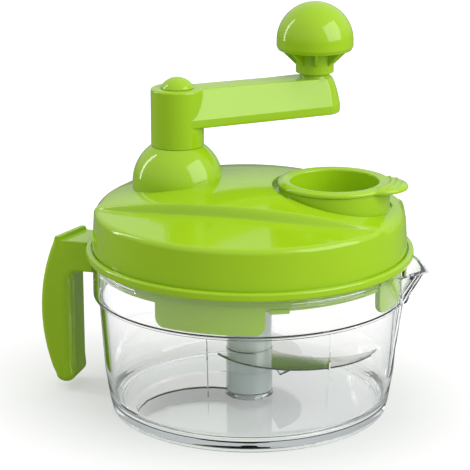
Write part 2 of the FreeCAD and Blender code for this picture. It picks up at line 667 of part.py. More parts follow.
def make_handle():
    back = "handle_outer_radius"
    body = padded("HandleSolid", "XZ_Plane", [
        ("block_inner", "block_bottom"),
        ("handle_inner", "block_bottom"),
        ("handle_inner", "handle_tip_height", "handle_tip_round"),
        ("handle_tip_reach", "handle_tip_height", back),
        ("handle_top_reach", "handle_top"),
        ("handle_top_reach - 2 * thumb_ridge_width / 3", "handle_top"),
        ("handle_top_reach - thumb_ridge_width", "deck_top"),
        ("block_clear", "deck_top"),
        ("block_clear", "block_step"),
        ("block_inner", "block_step"),
    ], "handle_width", symmetric=True)
    side_face = num("handle_width / 2")
    inner_face = num("handle_inner")
    underside = num("block_bottom")
    back_reach = num("handle_top_reach")

    def along_side(edge, least_length):
        extent = edge.BoundBox
        on_side = extent.YLength < NEAR and abs(abs(extent.YMax) - side_face) < NEAR
        return on_side and extent.ZLength > least_length

    def inside_corner(edge):
        middle = edge.CenterOfMass
        return (middle - Vector(inner_face, 0, underside)).Length < NEAR

    def inner_edge(edge):
        return along_side(edge, underside / 2) and abs(edge.CenterOfMass.x - inner_face) < NEAR

    def back_edge(edge):
        return along_side(edge, underside / 2) and edge.BoundBox.XMax > back_reach

    rounded(body, "handle_corner_round", inside_corner)
    rounded(body, "handle_corner_round", inner_edge)
    rounded(body, "handle_edge_round", back_edge)

    cavity_half = "(handle_width / 2 - handle_corner_round)"
    cavity = padded("HandleCavity", "XZ_Plane", [
        ("handle_inner - handle_wall", "cover_bottom + cover_ledge"),
        ("handle_tip_reach - handle_wall", "cover_bottom + cover_ledge", "handle_outer_radius - handle_wall"),
        ("handle_top_reach + handle_wall", "cover_top - cover_ledge"),
        ("handle_inner - handle_wall", "cover_top - cover_ledge"),
    ], "2 * (%s - cover_ledge)" % cavity_half, symmetric=True)
    mouth = box("HandleMouth", "cover_thickness + handle_wall", "2 * %s" % cavity_half, "cover_length",
                x="handle_inner - handle_wall", y="-%s" % cavity_half, z="cover_bottom")
    lug_room = box("LugRoom", "lug_reach + slide_fit - block_inner + handle_wall",
                   "lug_width + 2 * slide_fit", "lug_thickness + 2 * slide_fit",
                   x="block_inner - handle_wall", y="-lug_width / 2 - slide_fit",
                   z="lug_bottom - slide_fit")
    screw_x = "(block_inner + lug_reach) / 2"
    screw_room = cylinder("HandleScrewRoom", "screw_radius + shaft_fit",
                          "lug_bottom - block_bottom", x=screw_x, z="block_bottom")
    head_room = cylinder("HandleHeadRoom", "screw_head_radius + shaft_fit",
                         "screw_head_height / 2", x=screw_x, z="block_bottom")
    shell = cut("HandleShell", body, [cavity, mouth, lug_room, screw_room, head_room])
    shell.Placement.Rotation = FreeCAD.Rotation(Vector(0, 0, 1), 180)
    subpart(shell, "handle_shell")

    gap = "slide_fit / 2"
    plate = box("HandleCover", "cover_thickness", "2 * %s - slide_fit" % cavity_half,
                "cover_length - slide_fit", x="-ledge_reach",
                y="-%s + %s" % (cavity_half, gap), z="cover_bottom + " + gap)
    subpart(plate, "handle_cover")

    head = cylinder("HandleScrewHead", "screw_head_radius", "screw_head_height",
                    x="-" + screw_x, z="block_bottom - screw_head_height / 2")
    thread = cylinder("HandleScrewThread", "screw_radius", "lug_top - block_bottom - screw_head_height / 2",
                      x="-" + screw_x, z="block_bottom + screw_head_height / 2")
    subpart(fuse("HandleScrew", [head, thread]), "handle_screw")


# Lid

def make_lid_base():
    plate = lathe("LidPlate", [
        ("0", "deck_bottom"),
        ("skirt_inner", "deck_bottom"),
        ("skirt_inner", "skirt_bottom"),
        ("skirt_outer", "skirt_bottom"),
        ("skirt_outer", "deck_bottom"),
        ("bowl_radius + lid_fit", "deck_bottom"),
        ("bowl_radius + lid_fit", "lip_bottom"),
        ("flange_radius", "lip_bottom"),
        ("flange_radius", "deck_top"),
        ("shell_radius + groove_gap", "deck_top"),
        ("shell_radius + groove_gap", "shell_foot"),
        ("shell_radius - shell_thickness", "shell_foot"),
        ("shell_radius - shell_thickness", "deck_top"),
        ("0", "deck_top"),
    ])
    rounded(plate, "flange_round", ring_at("flange_radius", "deck_top"))
    rounded(plate, "flange_round", ring_at("flange_radius", "lip_bottom"))

    pieces = [plate]
    for quarter in range(QUARTERS):
        tab = lathe("LidTab%d" % quarter, [
            ("skirt_inner", "tab_bottom"),
            ("tab_outer", "tab_bottom"),
            ("tab_outer", "deck_bottom + deck_thickness / 3"),
            ("skirt_inner", "deck_bottom + deck_thickness / 3"),
        ], angle="tab_span_angle")
        lowest = num("tab_bottom")
        depth = num("tab_outer - skirt_inner")

        def lower_corner(edge):
            flat = edge.BoundBox.ZLength < NEAR and abs(edge.BoundBox.ZMin - lowest) < NEAR
            return flat and abs(edge.Length - depth) < NEAR
        rounded(tab, "tab_round", lower_corner)
        pieces.append(turned_about_z(tab, "%d" % (90 * quarter)))
        catch = lathe("LidCatch%d" % quarter, [
            ("skirt_inner", "catch_top - catch_height"),
            ("tab_outer", "catch_top - catch_height"),
            ("tab_outer", "catch_top"),
            ("skirt_inner", "catch_top"),
        ], angle="catch_span_angle")
        place = "rib_angle + %d - (rib_span_angle + catch_span_angle) / 2 - catch_lead_angle" % (90 * quarter)
        pieces.append(turned_about_z(catch, place))

    pieces.append(cylinder("PinionBoss", "pinion_bush_outer + housing_wall",
                           "pinion_boss_top - pinion_boss_bottom", z="pinion_boss_bottom"))
    pieces.append(cylinder("SpindleBoss", "spindle_foot_radius + foot_boss_wall",
                           "foot_boss_height + deck_thickness / 2",
                           x="-gear_centres", z="deck_top - deck_thickness / 2"))
    tools = [
        cylinder("PinionBushRoom", "pinion_bush_outer", "pinion_boss_top - pinion_boss_bottom",
                 z="pinion_boss_bottom"),
        cylinder("SpindleFootRoom", "spindle_foot_radius + shaft_fit",
                 "foot_boss_height + deck_thickness / 2",
                 x="-gear_centres", z="deck_top - deck_thickness / 2"),
        cylinder("DeckFeedRoom", "feed_radius", "deck_thickness", x="feed_offset", z="deck_bottom"),
    ]
    for index, (x, y) in enumerate(screw_places()):
        tools.append(cylinder("DeckScrewRoom%d" % index, "screw_radius + shaft_fit", "deck_thickness",
                              x=x, y=y, z="deck_bottom"))
    subpart(cut("LidBase", fuse("LidBaseSolid", pieces), tools), "lid_base")


def screw_places():
    """Where the four lid screws stand."""
    reach_x = "screw_circle * cos(screw_angle)"
    reach_y = "screw_circle * sin(screw_angle)"
    return [(sign_x + reach_x, sign_y + reach_y) for sign_x in ("", "-") for sign_y in ("", "-")]


def ridge(name, inset):
    """The raised ridge between the side hollows: two leaning round walls that face each other."""
    height = "(dome_top + shell_thickness - deck_bottom)"
    lean = "ridge_draft * (dome_edge + hollow_slope * shoulder_radius / 2 - (deck_bottom))"
    walls = []
    for label, sign in (("Front", ""), ("Back", "-")):
        walls.append(cone(name + label, "hollow_curve - %s + %s" % (inset, lean),
                          "hollow_curve - %s + %s - ridge_draft * %s" % (inset, lean, height),
                          height, y=sign + "hollow_centre", z="deck_bottom"))
    return common(name, walls[0], walls[1])


def make_lid_shell():
    wall = [("0", "shell_foot"), ("shell_radius", "shell_foot")]
    dome = lathe("ShellDome", wall + [("shoulder_radius", "dome_edge", "dome_curve"), ("0", "dome_top")])
    rounded(dome, "shoulder_round", ring_at("shoulder_radius", "dome_edge"))
    hollows = lathe("ShellHollows", wall + [("crease_radius", "crease_height"), ("0", "hollow_peak")])
    bell = lathe("Bell", [
        ("0", "deck_top"),
        ("bell_radius", "deck_top"),
        ("bell_radius", "bell_centre", "bell_radius"),
        ("bell_top_radius", "bell_top"),
        ("0", "bell_top"),
    ], x="-gear_centres")
    pocket = cylinder("Pocket", "pocket_radius", "dome_top", x="feed_offset", z="pocket_floor")
    outside = fuse("ShellOutside", [
        cut("ShellHollowed", hollows, [ridge("RidgeGap", "0")]),
        common("ShellRidge", dome, ridge("Ridge", "0")),
        bell,
    ])

    inner_wall = [("0", "deck_bottom"), ("shell_radius - shell_thickness", "deck_bottom"),
                  ("shell_radius - shell_thickness", "deck_top"), ("inner_wall", "inner_shoulder")]
    inner_dome = lathe("InnerDome", inner_wall + [
        ("inner_corner", "inner_dome_edge", "inner_dome_curve"), ("0", "inner_dome_top")])
    inner_hollows = lathe("InnerHollows", inner_wall + [
        ("inner_corner", "inner_hollow_edge"), ("0", "hollow_peak - shell_thickness")])
    inner_bell = lathe("InnerBell", [
        ("0", "deck_bottom"),
        ("bell_inner", "deck_bottom"),
        ("bell_inner", "bell_centre", "bell_inner"),
        ("bell_inner_radius", "bell_inner_top"),
        ("0", "bell_inner_top"),
    ], x="-gear_centres")
    inner_pocket = cylinder("InnerPocket", "pocket_radius + shell_thickness", "dome_top",
                            x="feed_offset", z="pocket_floor - shell_thickness")
    inside = fuse("ShellInside", [
        inner_hollows, common("InnerRidge", inner_dome, ridge("InnerRidgeWalls", "shell_thickness"))])
    room = fuse("ShellRoom", [cut("InsidePocketed", inside, [inner_pocket]), inner_bell])
    skin = cut("ShellSkin", cut("OutsidePocketed", outside, [pocket]), [room])

    pieces = [
        skin,
        cylinder("FeedCollar", "collar_radius", "collar_top - deck_top", x="feed_offset", z="deck_top"),
        cylinder("BushHousing", "bush_outer + housing_wall", "bell_top - shell_thickness / 2 - bush_bottom",
                 x="-gear_centres", z="bush_bottom"),
    ]
    tools = [
        cylinder("FeedBore", "feed_radius", "collar_top", x="feed_offset", z="deck_bottom"),
        cylinder("BushBore", "bush_outer", "bell_top", x="-gear_centres", z="bush_bottom"),
    ]
    for index, (x, y) in enumerate(screw_places()):
        pieces.append(cylinder("ShellPost%d" % index, "post_radius", "post_top - deck_top",
                               x=x, y=y, z="deck_top"))
        tools.append(cylinder("PostHole%d" % index, "screw_radius", "screw_length", x=x, y=y, z="deck_top"))
    subpart(cut("LidShell", fuse("ShellSolid", pieces), tools), "lid_shell")


def make_lid_fittings():
    screws = []
    for index, (x, y) in enumerate(screw_places()):
        head = cylinder("LidScrewHead%d" % index, "screw_head_radius", "screw_head_height",
                        x=x, y=y, z="deck_bottom - screw_head_height")
        thread = cylinder("LidScrewThread%d" % index, "screw_radius", "deck_thickness + screw_length",
                          x=x, y=y, z="deck_bottom")
        screws.append(fuse("LidScrew%d" % index, [head, thread]))
    group = doc.addObject("Part::Compound", "LidScrews")
    group.Links = screws
    subpart(group, "lid_screws")

    subpart(lathe("PinionBush", [
        ("journal_bore", "pinion_boss_bottom"),
        ("pinion_bush_outer", "pinion_boss_bottom"),
        ("pinion_bush_outer", "pinion_boss_top"),
        ("pinion_bush_outer + bush_flange", "pinion_boss_top"),
        ("pinion_bush_outer + bush_flange", "pinion_boss_top + bush_flange_thickness"),
        ("journal_bore", "pinion_boss_top + bush_flange_thickness"),
    ]), "pinion_bush")
    subpart(lathe("SpindleBush", [
        ("spindle_bore", "bush_lowest"),
        ("bush_outer + bush_flange", "bush_lowest"),
        ("bush_outer + bush_flange", "bush_bottom"),
        ("bush_outer", "bush_bottom"),
        ("bush_outer", "bell_top"),
        ("spindle_bore", "bell_top"),
    ], x="-gear_centres"), "spindle_bush")
    subpart(lathe("ThrustWasher", [
        ("spindle_foot_radius + shaft_fit", "foot_boss_top"),
        ("spindle_foot_radius + foot_boss_wall", "foot_boss_top"),
        ("spindle_foot_radius + foot_boss_wall", "gear_bottom"),
        ("spindle_foot_radius + shaft_fit", "gear_bottom"),
    ], x="-gear_centres"), "thrust_washer")


def make_feed_cup():
    body = lathe("CupBody", [
        ("0", "cup_bottom"),
        ("cup_outer - cup_taper", "cup_bottom"),
        ("cup_outer", "collar_top"),
        ("cup_flange_radius", "collar_top"),
        ("cup_flange_radius", "cup_top"),
        ("cup_outer - cup_wall", "cup_top"),
        ("cup_outer - cup_taper - cup_wall", "cup_bottom + cup_wall"),
        ("0", "cup_bottom + cup_wall"),
    ], x="feed_offset")
    rounded(body, "cup_flange_thickness / 3", ring_at("cup_flange_radius", "cup_top"))
    lobe = cylinder("CupTab", "cup_tab_round", "cup_flange_thickness",
                    x="feed_offset + cup_tab_reach - cup_tab_round", z="collar_top")
    pieces = [body, cut("CupTabTrimmed", lobe, [
        cylinder("CupTabRoom", "cup_outer - cup_wall / 2", "cup_top", x="feed_offset")])]
    for ridge_number in range(GRIP_RIDGES):
        start = "(cup_tab_reach - %s * grip_ridge_pitch)" % (ridge_number + 0.9)
        pieces.append(lathe("GripRidge%d" % ridge_number, [
            (start + " - grip_ridge_width / 2", "cup_top - grip_ridge_height"),
            (start + " + grip_ridge_width / 2", "cup_top - grip_ridge_height"),
            (start + " + grip_ridge_width / 4", "cup_top + grip_ridge_height"),
            (start + " - grip_ridge_width / 4", "cup_top + grip_ridge_height"),
        ], angle="%d" % (34 + 12 * ridge_number), x="feed_offset"))
    subpart(fuse("FeedCup", pieces), "feed_cup")


# Gears

def tooth_outline(teeth, turn):
    """A ring of involute teeth as one closed wire, its first tooth at the given angle."""
    module = num("gear_module")
    pitch = module * teeth / 2
    base = pitch * math.cos(PRESSURE_ANGLE)
    tip = pitch + TOOTH_TIP * module
    root = pitch - TOOTH_ROOT * module
    involute = math.tan(PRESSURE_ANGLE) - PRESSURE_ANGLE
    half_at_base = math.pi / (2 * teeth) - num("backlash") / (4 * pitch) + involute

    def half_angle(radius):
        if radius <= base:
            return half_at_base
        pressure = math.acos(base / radius)
        return half_at_base - math.tan(pressure) + pressure

    def point(radius, angle):
        return Vector(radius * math.cos(angle), radius * math.sin(angle), 0)

    edges = []
    step = 2 * math.pi / teeth
    for tooth in range(teeth):
        middle = turn + tooth * step
        left = [point(r, middle - half_angle(r)) for r in (root, pitch, tip)]
        right = [point(r, middle + half_angle(r)) for r in (tip, pitch, root)]
        following = point(root, middle + step - half_angle(root))
        edges.append(Part.Arc(*left).toShape())
        edges.append(Part.Arc(left[2], point(tip, middle), right[0]).toShape())
        edges.append(Part.Arc(*right).toShape())
        edges.append(Part.Arc(right[2], point(root, middle + step / 2), following).toShape())
    return Part.Wire(edges)


def toothed_disc(name, teeth, turn, x, z):
    """A disc of teeth; its outline comes from the tooth formula."""
    item = doc.addObject("Part::Feature", name)
    item.Shape = Part.Face(tooth_outline(teeth, turn)).extrude(Vector(0, 0, num("gear_face")))
    item.Placement.Base = Vector(num(x), 0, num(z))
    return item


def make_gears():
    disc = toothed_disc("CrankTeeth", CRANK_TEETH, 0.0, "-gear_centres", "gear_bottom")
    hub = cylinder("GearHub", "gear_hub_radius", "gear_hub_height", x="-gear_centres", z="gear_top")
    bore = cylinder("GearBore", "spindle_radius", "gear_face + gear_hub_height",
                    x="-gear_centres", z="gear_bottom")
    subpart(cut("CrankGear", fuse("CrankGearSolid", [disc, hub]), [bore, cross_pin("GearPinRoom")]),
            "crank_gear")
    subpart(cross_pin("GearPin"), "gear_pin")

    teeth = toothed_disc("PinionTeeth", PINION_TEETH, 0.0, "0", "pinion_bottom")
    journal = lathe("PinionJournal", [
        ("0", "journal_bottom"),
        ("journal_radius", "journal_bottom"),
        ("journal_radius", "clip_bottom"),
        ("journal_radius - clip_groove", "clip_bottom"),
        ("journal_radius - clip_groove", "clip_top"),
        ("journal_radius", "clip_top"),
        ("journal_radius", "pinion_bottom + gear_face / 2"),
        ("0", "pinion_bottom + gear_face / 2"),
    ])
    socket = prism("PinionSocket", "socket_hex", "socket_depth", z="journal_bottom")
    subpart(cut("DrivePinion", fuse("PinionSolid", [teeth, journal]), [socket]), "drive_pinion")

    clip_ring = lathe("ClipRing", [
        ("journal_radius - clip_groove", "clip_bottom"),
        ("journal_radius + clip_rim", "clip_bottom"),
        ("journal_radius + clip_rim", "clip_top"),
        ("journal_radius - clip_groove", "clip_top"),
    ])
    clip_gap = box("ClipGap", "2 * journal_radius", "journal_radius", "clip_thickness",
                   y="-journal_radius / 2", z="clip_bottom")
    subpart(cut("PinionClip", clip_ring, [clip_gap]), "pinion_clip")


def cross_pin(name):
    """The pin through the crank gear's hub and the spindle."""
    pin = doc.addObject("Part::Cylinder", name)
    pin.Placement.Rotation = FreeCAD.Rotation(Vector(1, 0, 0), 90)
    return bind(pin, Radius="gear_pin_radius", Height="2 * gear_hub_radius",
                x="-gear_centres", y="gear_hub_radius", z="gear_top + gear_hub_height / 2")


# Crank

def make_spindle():
    shaft = lathe("SpindleShaft", [
        ("0", "deck_top - deck_thickness / 2 + running_gap"),
        ("spindle_foot_radius", "deck_top - deck_thickness / 2 + running_gap"),
        ("spindle_foot_radius", "gear_bottom"),
        ("spindle_radius", "gear_bottom"),
        ("spindle_radius", "bush_lowest - running_gap - bush_flange_thickness"),
        ("spindle_radius + collar_flange", "bush_lowest - running_gap - bush_flange_thickness"),
        ("spindle_radius + collar_flange", "bush_lowest - running_gap"),
        ("spindle_radius", "bush_lowest - running_gap"),
        ("spindle_radius", "hex_bottom"),
        ("0", "hex_bottom"),
    ], x="-gear_centres")
    head = prism("SpindleHex", "spindle_hex", "hex_height", x="-gear_centres", z="hex_bottom")
    turned_about_z(head, "crank_angle")
    thread_room = cylinder("SpindleThreadRoom", "crank_screw_radius", "crank_screw_length",
                           x="-gear_centres", z="hex_top - crank_screw_length")
    subpart(cut("Spindle", fuse("SpindleSolid", [shaft, head]), [thread_room, cross_pin("SpindlePinRoom")]),
            "crank_spindle")


def on_crank(item):
    """Stand an item on the crank: its X axis runs from the spindle to the knob."""
    item.Placement.Rotation = FreeCAD.Rotation(Vector(0, 0, 1), 1)
    return bind(item, angle="crank_angle", x="-gear_centres")


def make_arm():
    hub = lathe("ArmHub", [
        ("0", "hub_bottom"), ("hub_radius", "hub_bottom"), ("hub_radius", "hub_top"), ("0", "hub_top")])
    beam = loft("ArmBeam", stadium("0", "crank_reach + arm_flare", "arm_half_width"),
                stadium("0", "crank_reach", "arm_half_top"), "arm_top - arm_foot")
    bind(beam, z="arm_foot")
    neck = lathe("ArmNeck", [
        ("0", "arm_top - arm_wall / 2"),
        ("neck_radius + neck_flare", "arm_top - arm_wall / 2"),
        ("neck_radius", "arm_top + neck_height / 2"),
        ("neck_radius", "neck_top"),
        ("0", "neck_top"),
    ], x="crank_reach")
    cavity = loft("ArmCavity", stadium("cavity_start", "cavity_end - cavity_foot", "cavity_foot"),
                  stadium("cavity_start", "cavity_end - cavity_foot", "cavity_narrow"),
                  "cavity_top - arm_foot")
    bind(cavity, z="arm_foot")
    hub_room = lathe("HubRoom", [
        ("hub_tube_radius", "hub_bottom"),
        ("hub_radius - hub_wall", "hub_bottom"),
        ("hub_radius - hub_wall", "arm_bottom"),
        ("hub_tube_radius", "arm_bottom"),
    ])
    posts = []
    holes = []
    for label, place in (("Near", "arm_screw_near"), ("Far", "arm_screw_far")):
        posts.append(cylinder("ArmPost" + label, "post_radius", "arm_top - arm_wall / 2 - arm_foot",
                              x=place, z="arm_foot"))
        holes.append(cylinder("ArmPostHole" + label, "screw_radius", "screw_length / 2",
                              x=place, z="arm_foot"))
    tools = holes + [
        hub_room,
        prism("HubSocket", "spindle_hex + 4 * shaft_fit", "socket_top - hub_bottom", z="hub_bottom"),
        cylinder("HubScrewRoom", "crank_screw_radius + shaft_fit", "web_top - socket_top", z="socket_top"),
        cylinder("HubHeadRoom", "crank_screw_head + 2 * cap_wall", "hub_top - web_top", z="web_top"),
        cylinder("KnobThreadRoom", "knob_thread_radius", "knob_thread_length",
                 x="crank_reach", z="arm_top - knob_thread_length"),
        cylinder("KnobPinRoom", "knob_pin_radius", "neck_height", x="crank_reach", z="arm_top"),
    ]
    hollow_beam = cut("ArmHollow", beam, [cavity])
    arm = cut("CrankArm", fuse("ArmSolid", [hub, hollow_beam, neck] + posts), tools)
    subpart(on_crank(arm), "crank_arm")

    plate = padded("ArmPlate", "XY_Plane", stadium("0", "crank_reach + arm_flare", "arm_half_width"),
                   "arm_cover_thickness")
    bind(plate, z="arm_bottom")
    plate_tools = [cylinder("ArmPlateHub", "hub_radius", "arm_cover_thickness", z="arm_bottom")]
    screws = []
    for label, place in (("Near", "arm_screw_near"), ("Far", "arm_screw_far")):
        plate_tools.append(cylinder("ArmPlateHole" + label, "screw_radius", "arm_cover_thickness",
                                    x=place, z="arm_bottom"))
        plate_tools.append(cylinder("ArmPlateHead" + label, "screw_head_radius", "screw_head_height",
                                    x=place, z="arm_bottom"))
        head = cylinder("ArmScrewHead" + label, "screw_head_radius", "screw_head_height",
                        x=place, z="arm_bottom")
        thread = cylinder("ArmScrewThread" + label, "screw_radius",
                          "arm_cover_thickness - screw_head_height + screw_length / 2",
                          x=place, z="arm_bottom + screw_head_height")
        screws.append(fuse("ArmScrew" + label, [head, thread]))
    subpart(on_crank(cut("ArmCover", plate, plate_tools)), "crank_arm_cover")
    group = doc.addObject("Part::Compound", "ArmScrews")
    group.Links = screws
    subpart(on_crank(group), "arm_cover_screws")


def make_crank_fittings():
    head = cylinder("CrankScrewHead", "crank_screw_head", "crank_screw_head_height",
                    x="-gear_centres", z="web_top")
    thread = cylinder("CrankScrewThread", "crank_screw_radius",
                      "web_top - hex_top + crank_screw_length",
                      x="-gear_centres", z="hex_top - crank_screw_length")
    subpart(fuse("CrankScrew", [head, thread]), "crank_screw")

    ring_outer = "crank_screw_head + 2 * cap_wall"
    curve = "((cap_radius ^ 2 + cap_height ^ 2) / (2 * cap_height))"
    subpart(lathe("CrankCap", [
        ("crank_screw_head + cap_wall", "web_top + running_gap"),
        (ring_outer, "web_top + running_gap"),
        (ring_outer, "hub_top"),
        ("cap_radius", "hub_top", curve),
        ("0", "hub_top + cap_height"),
        ("0", "hub_top"),
        ("crank_screw_head + cap_wall", "hub_top"),
    ], x="-gear_centres"), "crank_cap")

    pin = lathe("KnobPinBody", [
        ("0", "arm_top - knob_thread_length"),
        ("knob_thread_radius", "arm_top - knob_thread_length"),
        ("knob_thread_radius", "arm_top"),
        ("knob_pin_radius", "arm_top"),
        ("knob_pin_radius", "knob_pin_top"),
        ("knob_pin_head", "knob_pin_top"),
        ("knob_pin_head", "knob_pin_top + knob_pin_head_height"),
        ("0", "knob_pin_top + knob_pin_head_height"),
    ], x="knob_x", y="knob_y")
    subpart(pin, "knob_pin")
    washer = lathe("KnobWasherBody", [
        ("knob_pin_radius", "knob_pin_top - knob_washer_thickness"),
        ("knob_pin_head + clip_rim", "knob_pin_top - knob_washer_thickness"),
        ("knob_pin_head + clip_rim", "knob_pin_top"),
        ("knob_pin_radius", "knob_pin_top"),
    ], x="knob_x", y="knob_y")
    subpart(washer, "knob_washer")


def make_knob():
    core = lathe("KnobCoreBody", [
        ("knob_pin_radius + shaft_fit", "knob_bottom"),
        ("knob_tube_radius", "knob_bottom"),
        ("knob_tube_radius", "knob_plate_bottom"),
        ("knob_inner - knob_chamfer / 6", "knob_plate_bottom"),
        ("knob_inner - knob_chamfer / 6", "knob_edge + knob_chamfer"),
        ("knob_inner - knob_wall", "knob_edge + knob_chamfer"),
        ("knob_inner - knob_wall", "knob_edge"),
        ("knob_tube_radius", "knob_edge"),
        ("knob_tube_radius", "knob_tube_top"),
        ("knob_pin_radius + shaft_fit", "knob_tube_top"),
    ])
    pieces = [core]
    for number in range(GUSSETS):
        gusset = padded("Gusset%d" % number, "XZ_Plane", [
            ("knob_tube_radius - knob_wall / 2", "knob_plate_bottom - gusset_height"),
            ("knob_tube_radius", "knob_plate_bottom - gusset_height"),
            ("knob_inner - knob_chamfer / 6", "knob_plate_bottom"),
            ("knob_tube_radius - knob_wall / 2", "knob_plate_bottom"),
        ], "gusset_thickness", symmetric=True)
        pieces.append(turned_about_z(gusset, "crank_angle + %s" % (360 / GUSSETS * (number + 0.5))))
    whole = fuse("KnobCore", pieces)
    subpart(bind(whole, x="knob_x", y="knob_y"), "knob_core")

    dome = lathe("KnobDome", [
        ("knob_inner", "knob_edge"),
        ("knob_radius - knob_chamfer / 2", "knob_edge"),
        ("knob_radius", "knob_edge + knob_chamfer"),
        ("knob_radius", "knob_centre", "knob_radius"),
        ("0", "knob_top"),
        ("0", "knob_top - knob_wall", "-knob_inner"),
        ("knob_inner", "knob_centre"),
    ], x="knob_x", y="knob_y")
    subpart(dome, "knob_dome")


# Blades

def arc_radius(chord, bow):
    """Rule for the radius of an arc over a chord that bows out that far."""
    return "((%s ^ 2 + (%s / 2) ^ 2) / (2 * %s))" % (bow, chord, bow)


def make_blade(name, level, turn):
    """A sickle blade and the ring that slides on the core; its tip points along X before turning."""
    ring = cylinder(name + "Ring", "core_radius + blade_ring", "blade_thickness")
    edge_chord = "sqrt((blade_reach + blade_heel) ^ 2 + blade_heel_side ^ 2)"
    back_chord = "sqrt((blade_reach - blade_root) ^ 2 + blade_root_side ^ 2)"
    wing = padded(name + "Wing", "XY_Plane", [
        ("-blade_heel", "-blade_heel_side", arc_radius(edge_chord, "blade_bow")),
        ("blade_reach", "0", "-" + arc_radius(back_chord, "blade_back_bow")),
        ("blade_root", "-blade_root_side"),
        ("core_radius", "0"),
        ("0", "0"),
        ("blade_notch", "-blade_notch_side"),
    ], "blade_thickness")
    bore = cylinder(name + "Bore", "core_radius", "blade_thickness")
    blade = cut(name, fuse(name + "Solid", [ring, wing]), [bore])
    turned_about_z(blade, turn)
    return bind(blade, z=level)


def make_blade_unit():
    blades = (("blade_lower", "LowerBlade", 0), ("blade_middle", "MiddleBlade", 1),
              ("blade_upper", "UpperBlade", 2))
    for label, name, level in blades:
        blade = make_blade(name, "blade_low + %d * blade_pitch" % level,
                           "blade_start_angle + %d * blade_step_angle" % (2 - level))
        subpart(blade, label)
    for label, name, level in (("lower_spacer", "LowerSpacer", 0), ("upper_spacer", "UpperSpacer", 1)):
        bottom = "(blade_low + blade_thickness + %d * blade_pitch)" % level
        subpart(lathe(name, [
            ("core_radius", bottom),
            ("hub_spacer_radius", bottom),
            ("hub_spacer_radius", bottom + " + spacer_height"),
            ("core_radius", bottom + " + spacer_height"),
        ]), label)
    subpart(lathe("HubFoot", [
        ("core_radius", "foot_bottom"),
        ("hub_spacer_radius + foot_flare", "foot_bottom"),
        ("hub_spacer_radius", "blade_low"),
        ("core_radius", "blade_low"),
    ]), "hub_foot")
    shaft = lathe("BladeShaftBody", [
        ("pivot_radius + shaft_fit", "foot_bottom + boss_height"),
        ("boss_radius + running_gap", "foot_bottom + boss_height"),
        ("boss_radius + running_gap", "foot_bottom"),
        ("core_radius", "foot_bottom"),
        ("core_radius", "shaft_bottom"),
        ("shaft_radius", "shaft_bottom"),
        ("shaft_radius", "shaft_top"),
        ("0", "shaft_top"),
        ("0", "pivot_height + running_gap"),
        ("pivot_radius + shaft_fit", "pivot_height + running_gap"),
    ])
    rounded(shaft, "shaft_radius / 8", ring_at("shaft_radius", "shaft_top"))
    drive = prism("ShaftHex", "shaft_hex", "shaft_end - shaft_top + bowl_wall", z="shaft_top - bowl_wall")
    subpart(fuse("BladeShaft", [shaft, drive]), "blade_shaft")


def write_parts():
    """Check every object, then write one STEP file for each sub-part."""
    doc.recompute()
    for item in doc.Objects:
        if "Invalid" in item.State or "Error" in item.State:
            raise RuntimeError("%s did not build: %s" % (item.Name, item.State))
    for item in SUBPARTS:
        shape = item.Shape
        if shape.isNull() or not shape.isValid() or not shape.Solids:
            raise RuntimeError("%s has no valid solid" % item.Label)
    os.makedirs("parts", exist_ok=True)
    for item in SUBPARTS:
        item.Shape.exportStep(os.path.join("parts", item.Label + ".step"))
        print("%-18s %d solid(s) %10.1f mm3" % (item.Label, len(item.Shape.Solids), item.Shape.Volume))


make_bowl()
make_handle()
make_lid_base()
make_lid_shell()
make_lid_fittings()
make_feed_cup()
make_gears()
make_spindle()
make_arm()
make_crank_fittings()
make_knob()
make_blade_unit()
write_parts()
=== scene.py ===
# Looks of the crank food chopper: clear bowl, green lid, crank, knob, feed cup and handle, steel blades.
# Sizes are millimetres in the frame's own axes, except lamps and camera, which are metres.
# The spout points to +X and the handle to -X.
import math
from collections import Counter

import bmesh
import bpy
import numpy as np
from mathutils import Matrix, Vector, geometry


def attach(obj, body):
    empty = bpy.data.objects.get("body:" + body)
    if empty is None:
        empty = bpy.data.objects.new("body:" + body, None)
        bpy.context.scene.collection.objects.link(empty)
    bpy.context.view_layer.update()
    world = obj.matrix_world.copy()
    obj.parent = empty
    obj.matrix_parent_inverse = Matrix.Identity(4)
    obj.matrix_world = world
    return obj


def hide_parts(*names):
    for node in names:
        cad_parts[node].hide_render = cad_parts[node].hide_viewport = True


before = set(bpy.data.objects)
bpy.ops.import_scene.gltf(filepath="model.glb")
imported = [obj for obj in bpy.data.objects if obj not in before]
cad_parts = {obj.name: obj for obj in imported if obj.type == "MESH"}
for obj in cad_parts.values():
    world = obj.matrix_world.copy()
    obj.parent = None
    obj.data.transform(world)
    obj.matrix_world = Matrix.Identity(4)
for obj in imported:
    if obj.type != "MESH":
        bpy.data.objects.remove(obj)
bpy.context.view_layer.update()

MM = 0.001
TINY = 1e-6
HALVINGS = 34
FULL_TURN = 360.0
QUARTER = 90.0

# Bowl
BOWL_RADIUS = 86.4
BOWL_HEIGHT = 89.0
BOWL_WALL = 2.4
BEAD_DEPTH = 0.8
BEAD_BOTTOM = 84.7
BEAD_TOP = 87.3
STEP_HEIGHT = 65.2
WAIST_RADIUS = 83.5
KNEE_RADIUS = 80.5
KNEE_HEIGHT = 22.0
HEEL_RADIUS = 78.0
HEEL_HEIGHT = 6.0
FOOT_RADIUS = 76.5
FOOT_WIDTH = 3.0
FLOOR_BOTTOM = 2.0
FLOOR_TOP = 4.6
FLOOR_ROUND = 9.0
BOSS_RADIUS = 5.5
BOSS_TOP = 9.6
PIN_RADIUS = 3.0
PIN_SEAT = 3.3
RIB_ANGLE = 45.0
RIB_HALF_ANGLE = 15.0
RIB_DEPTH = 1.35
RIB_BOTTOM = 81.5
RIB_TOP = 84.3
FLOW_LINES = (-90.5, -44.5, 4.5)
FLOW_LINE_DEPTH = 0.22
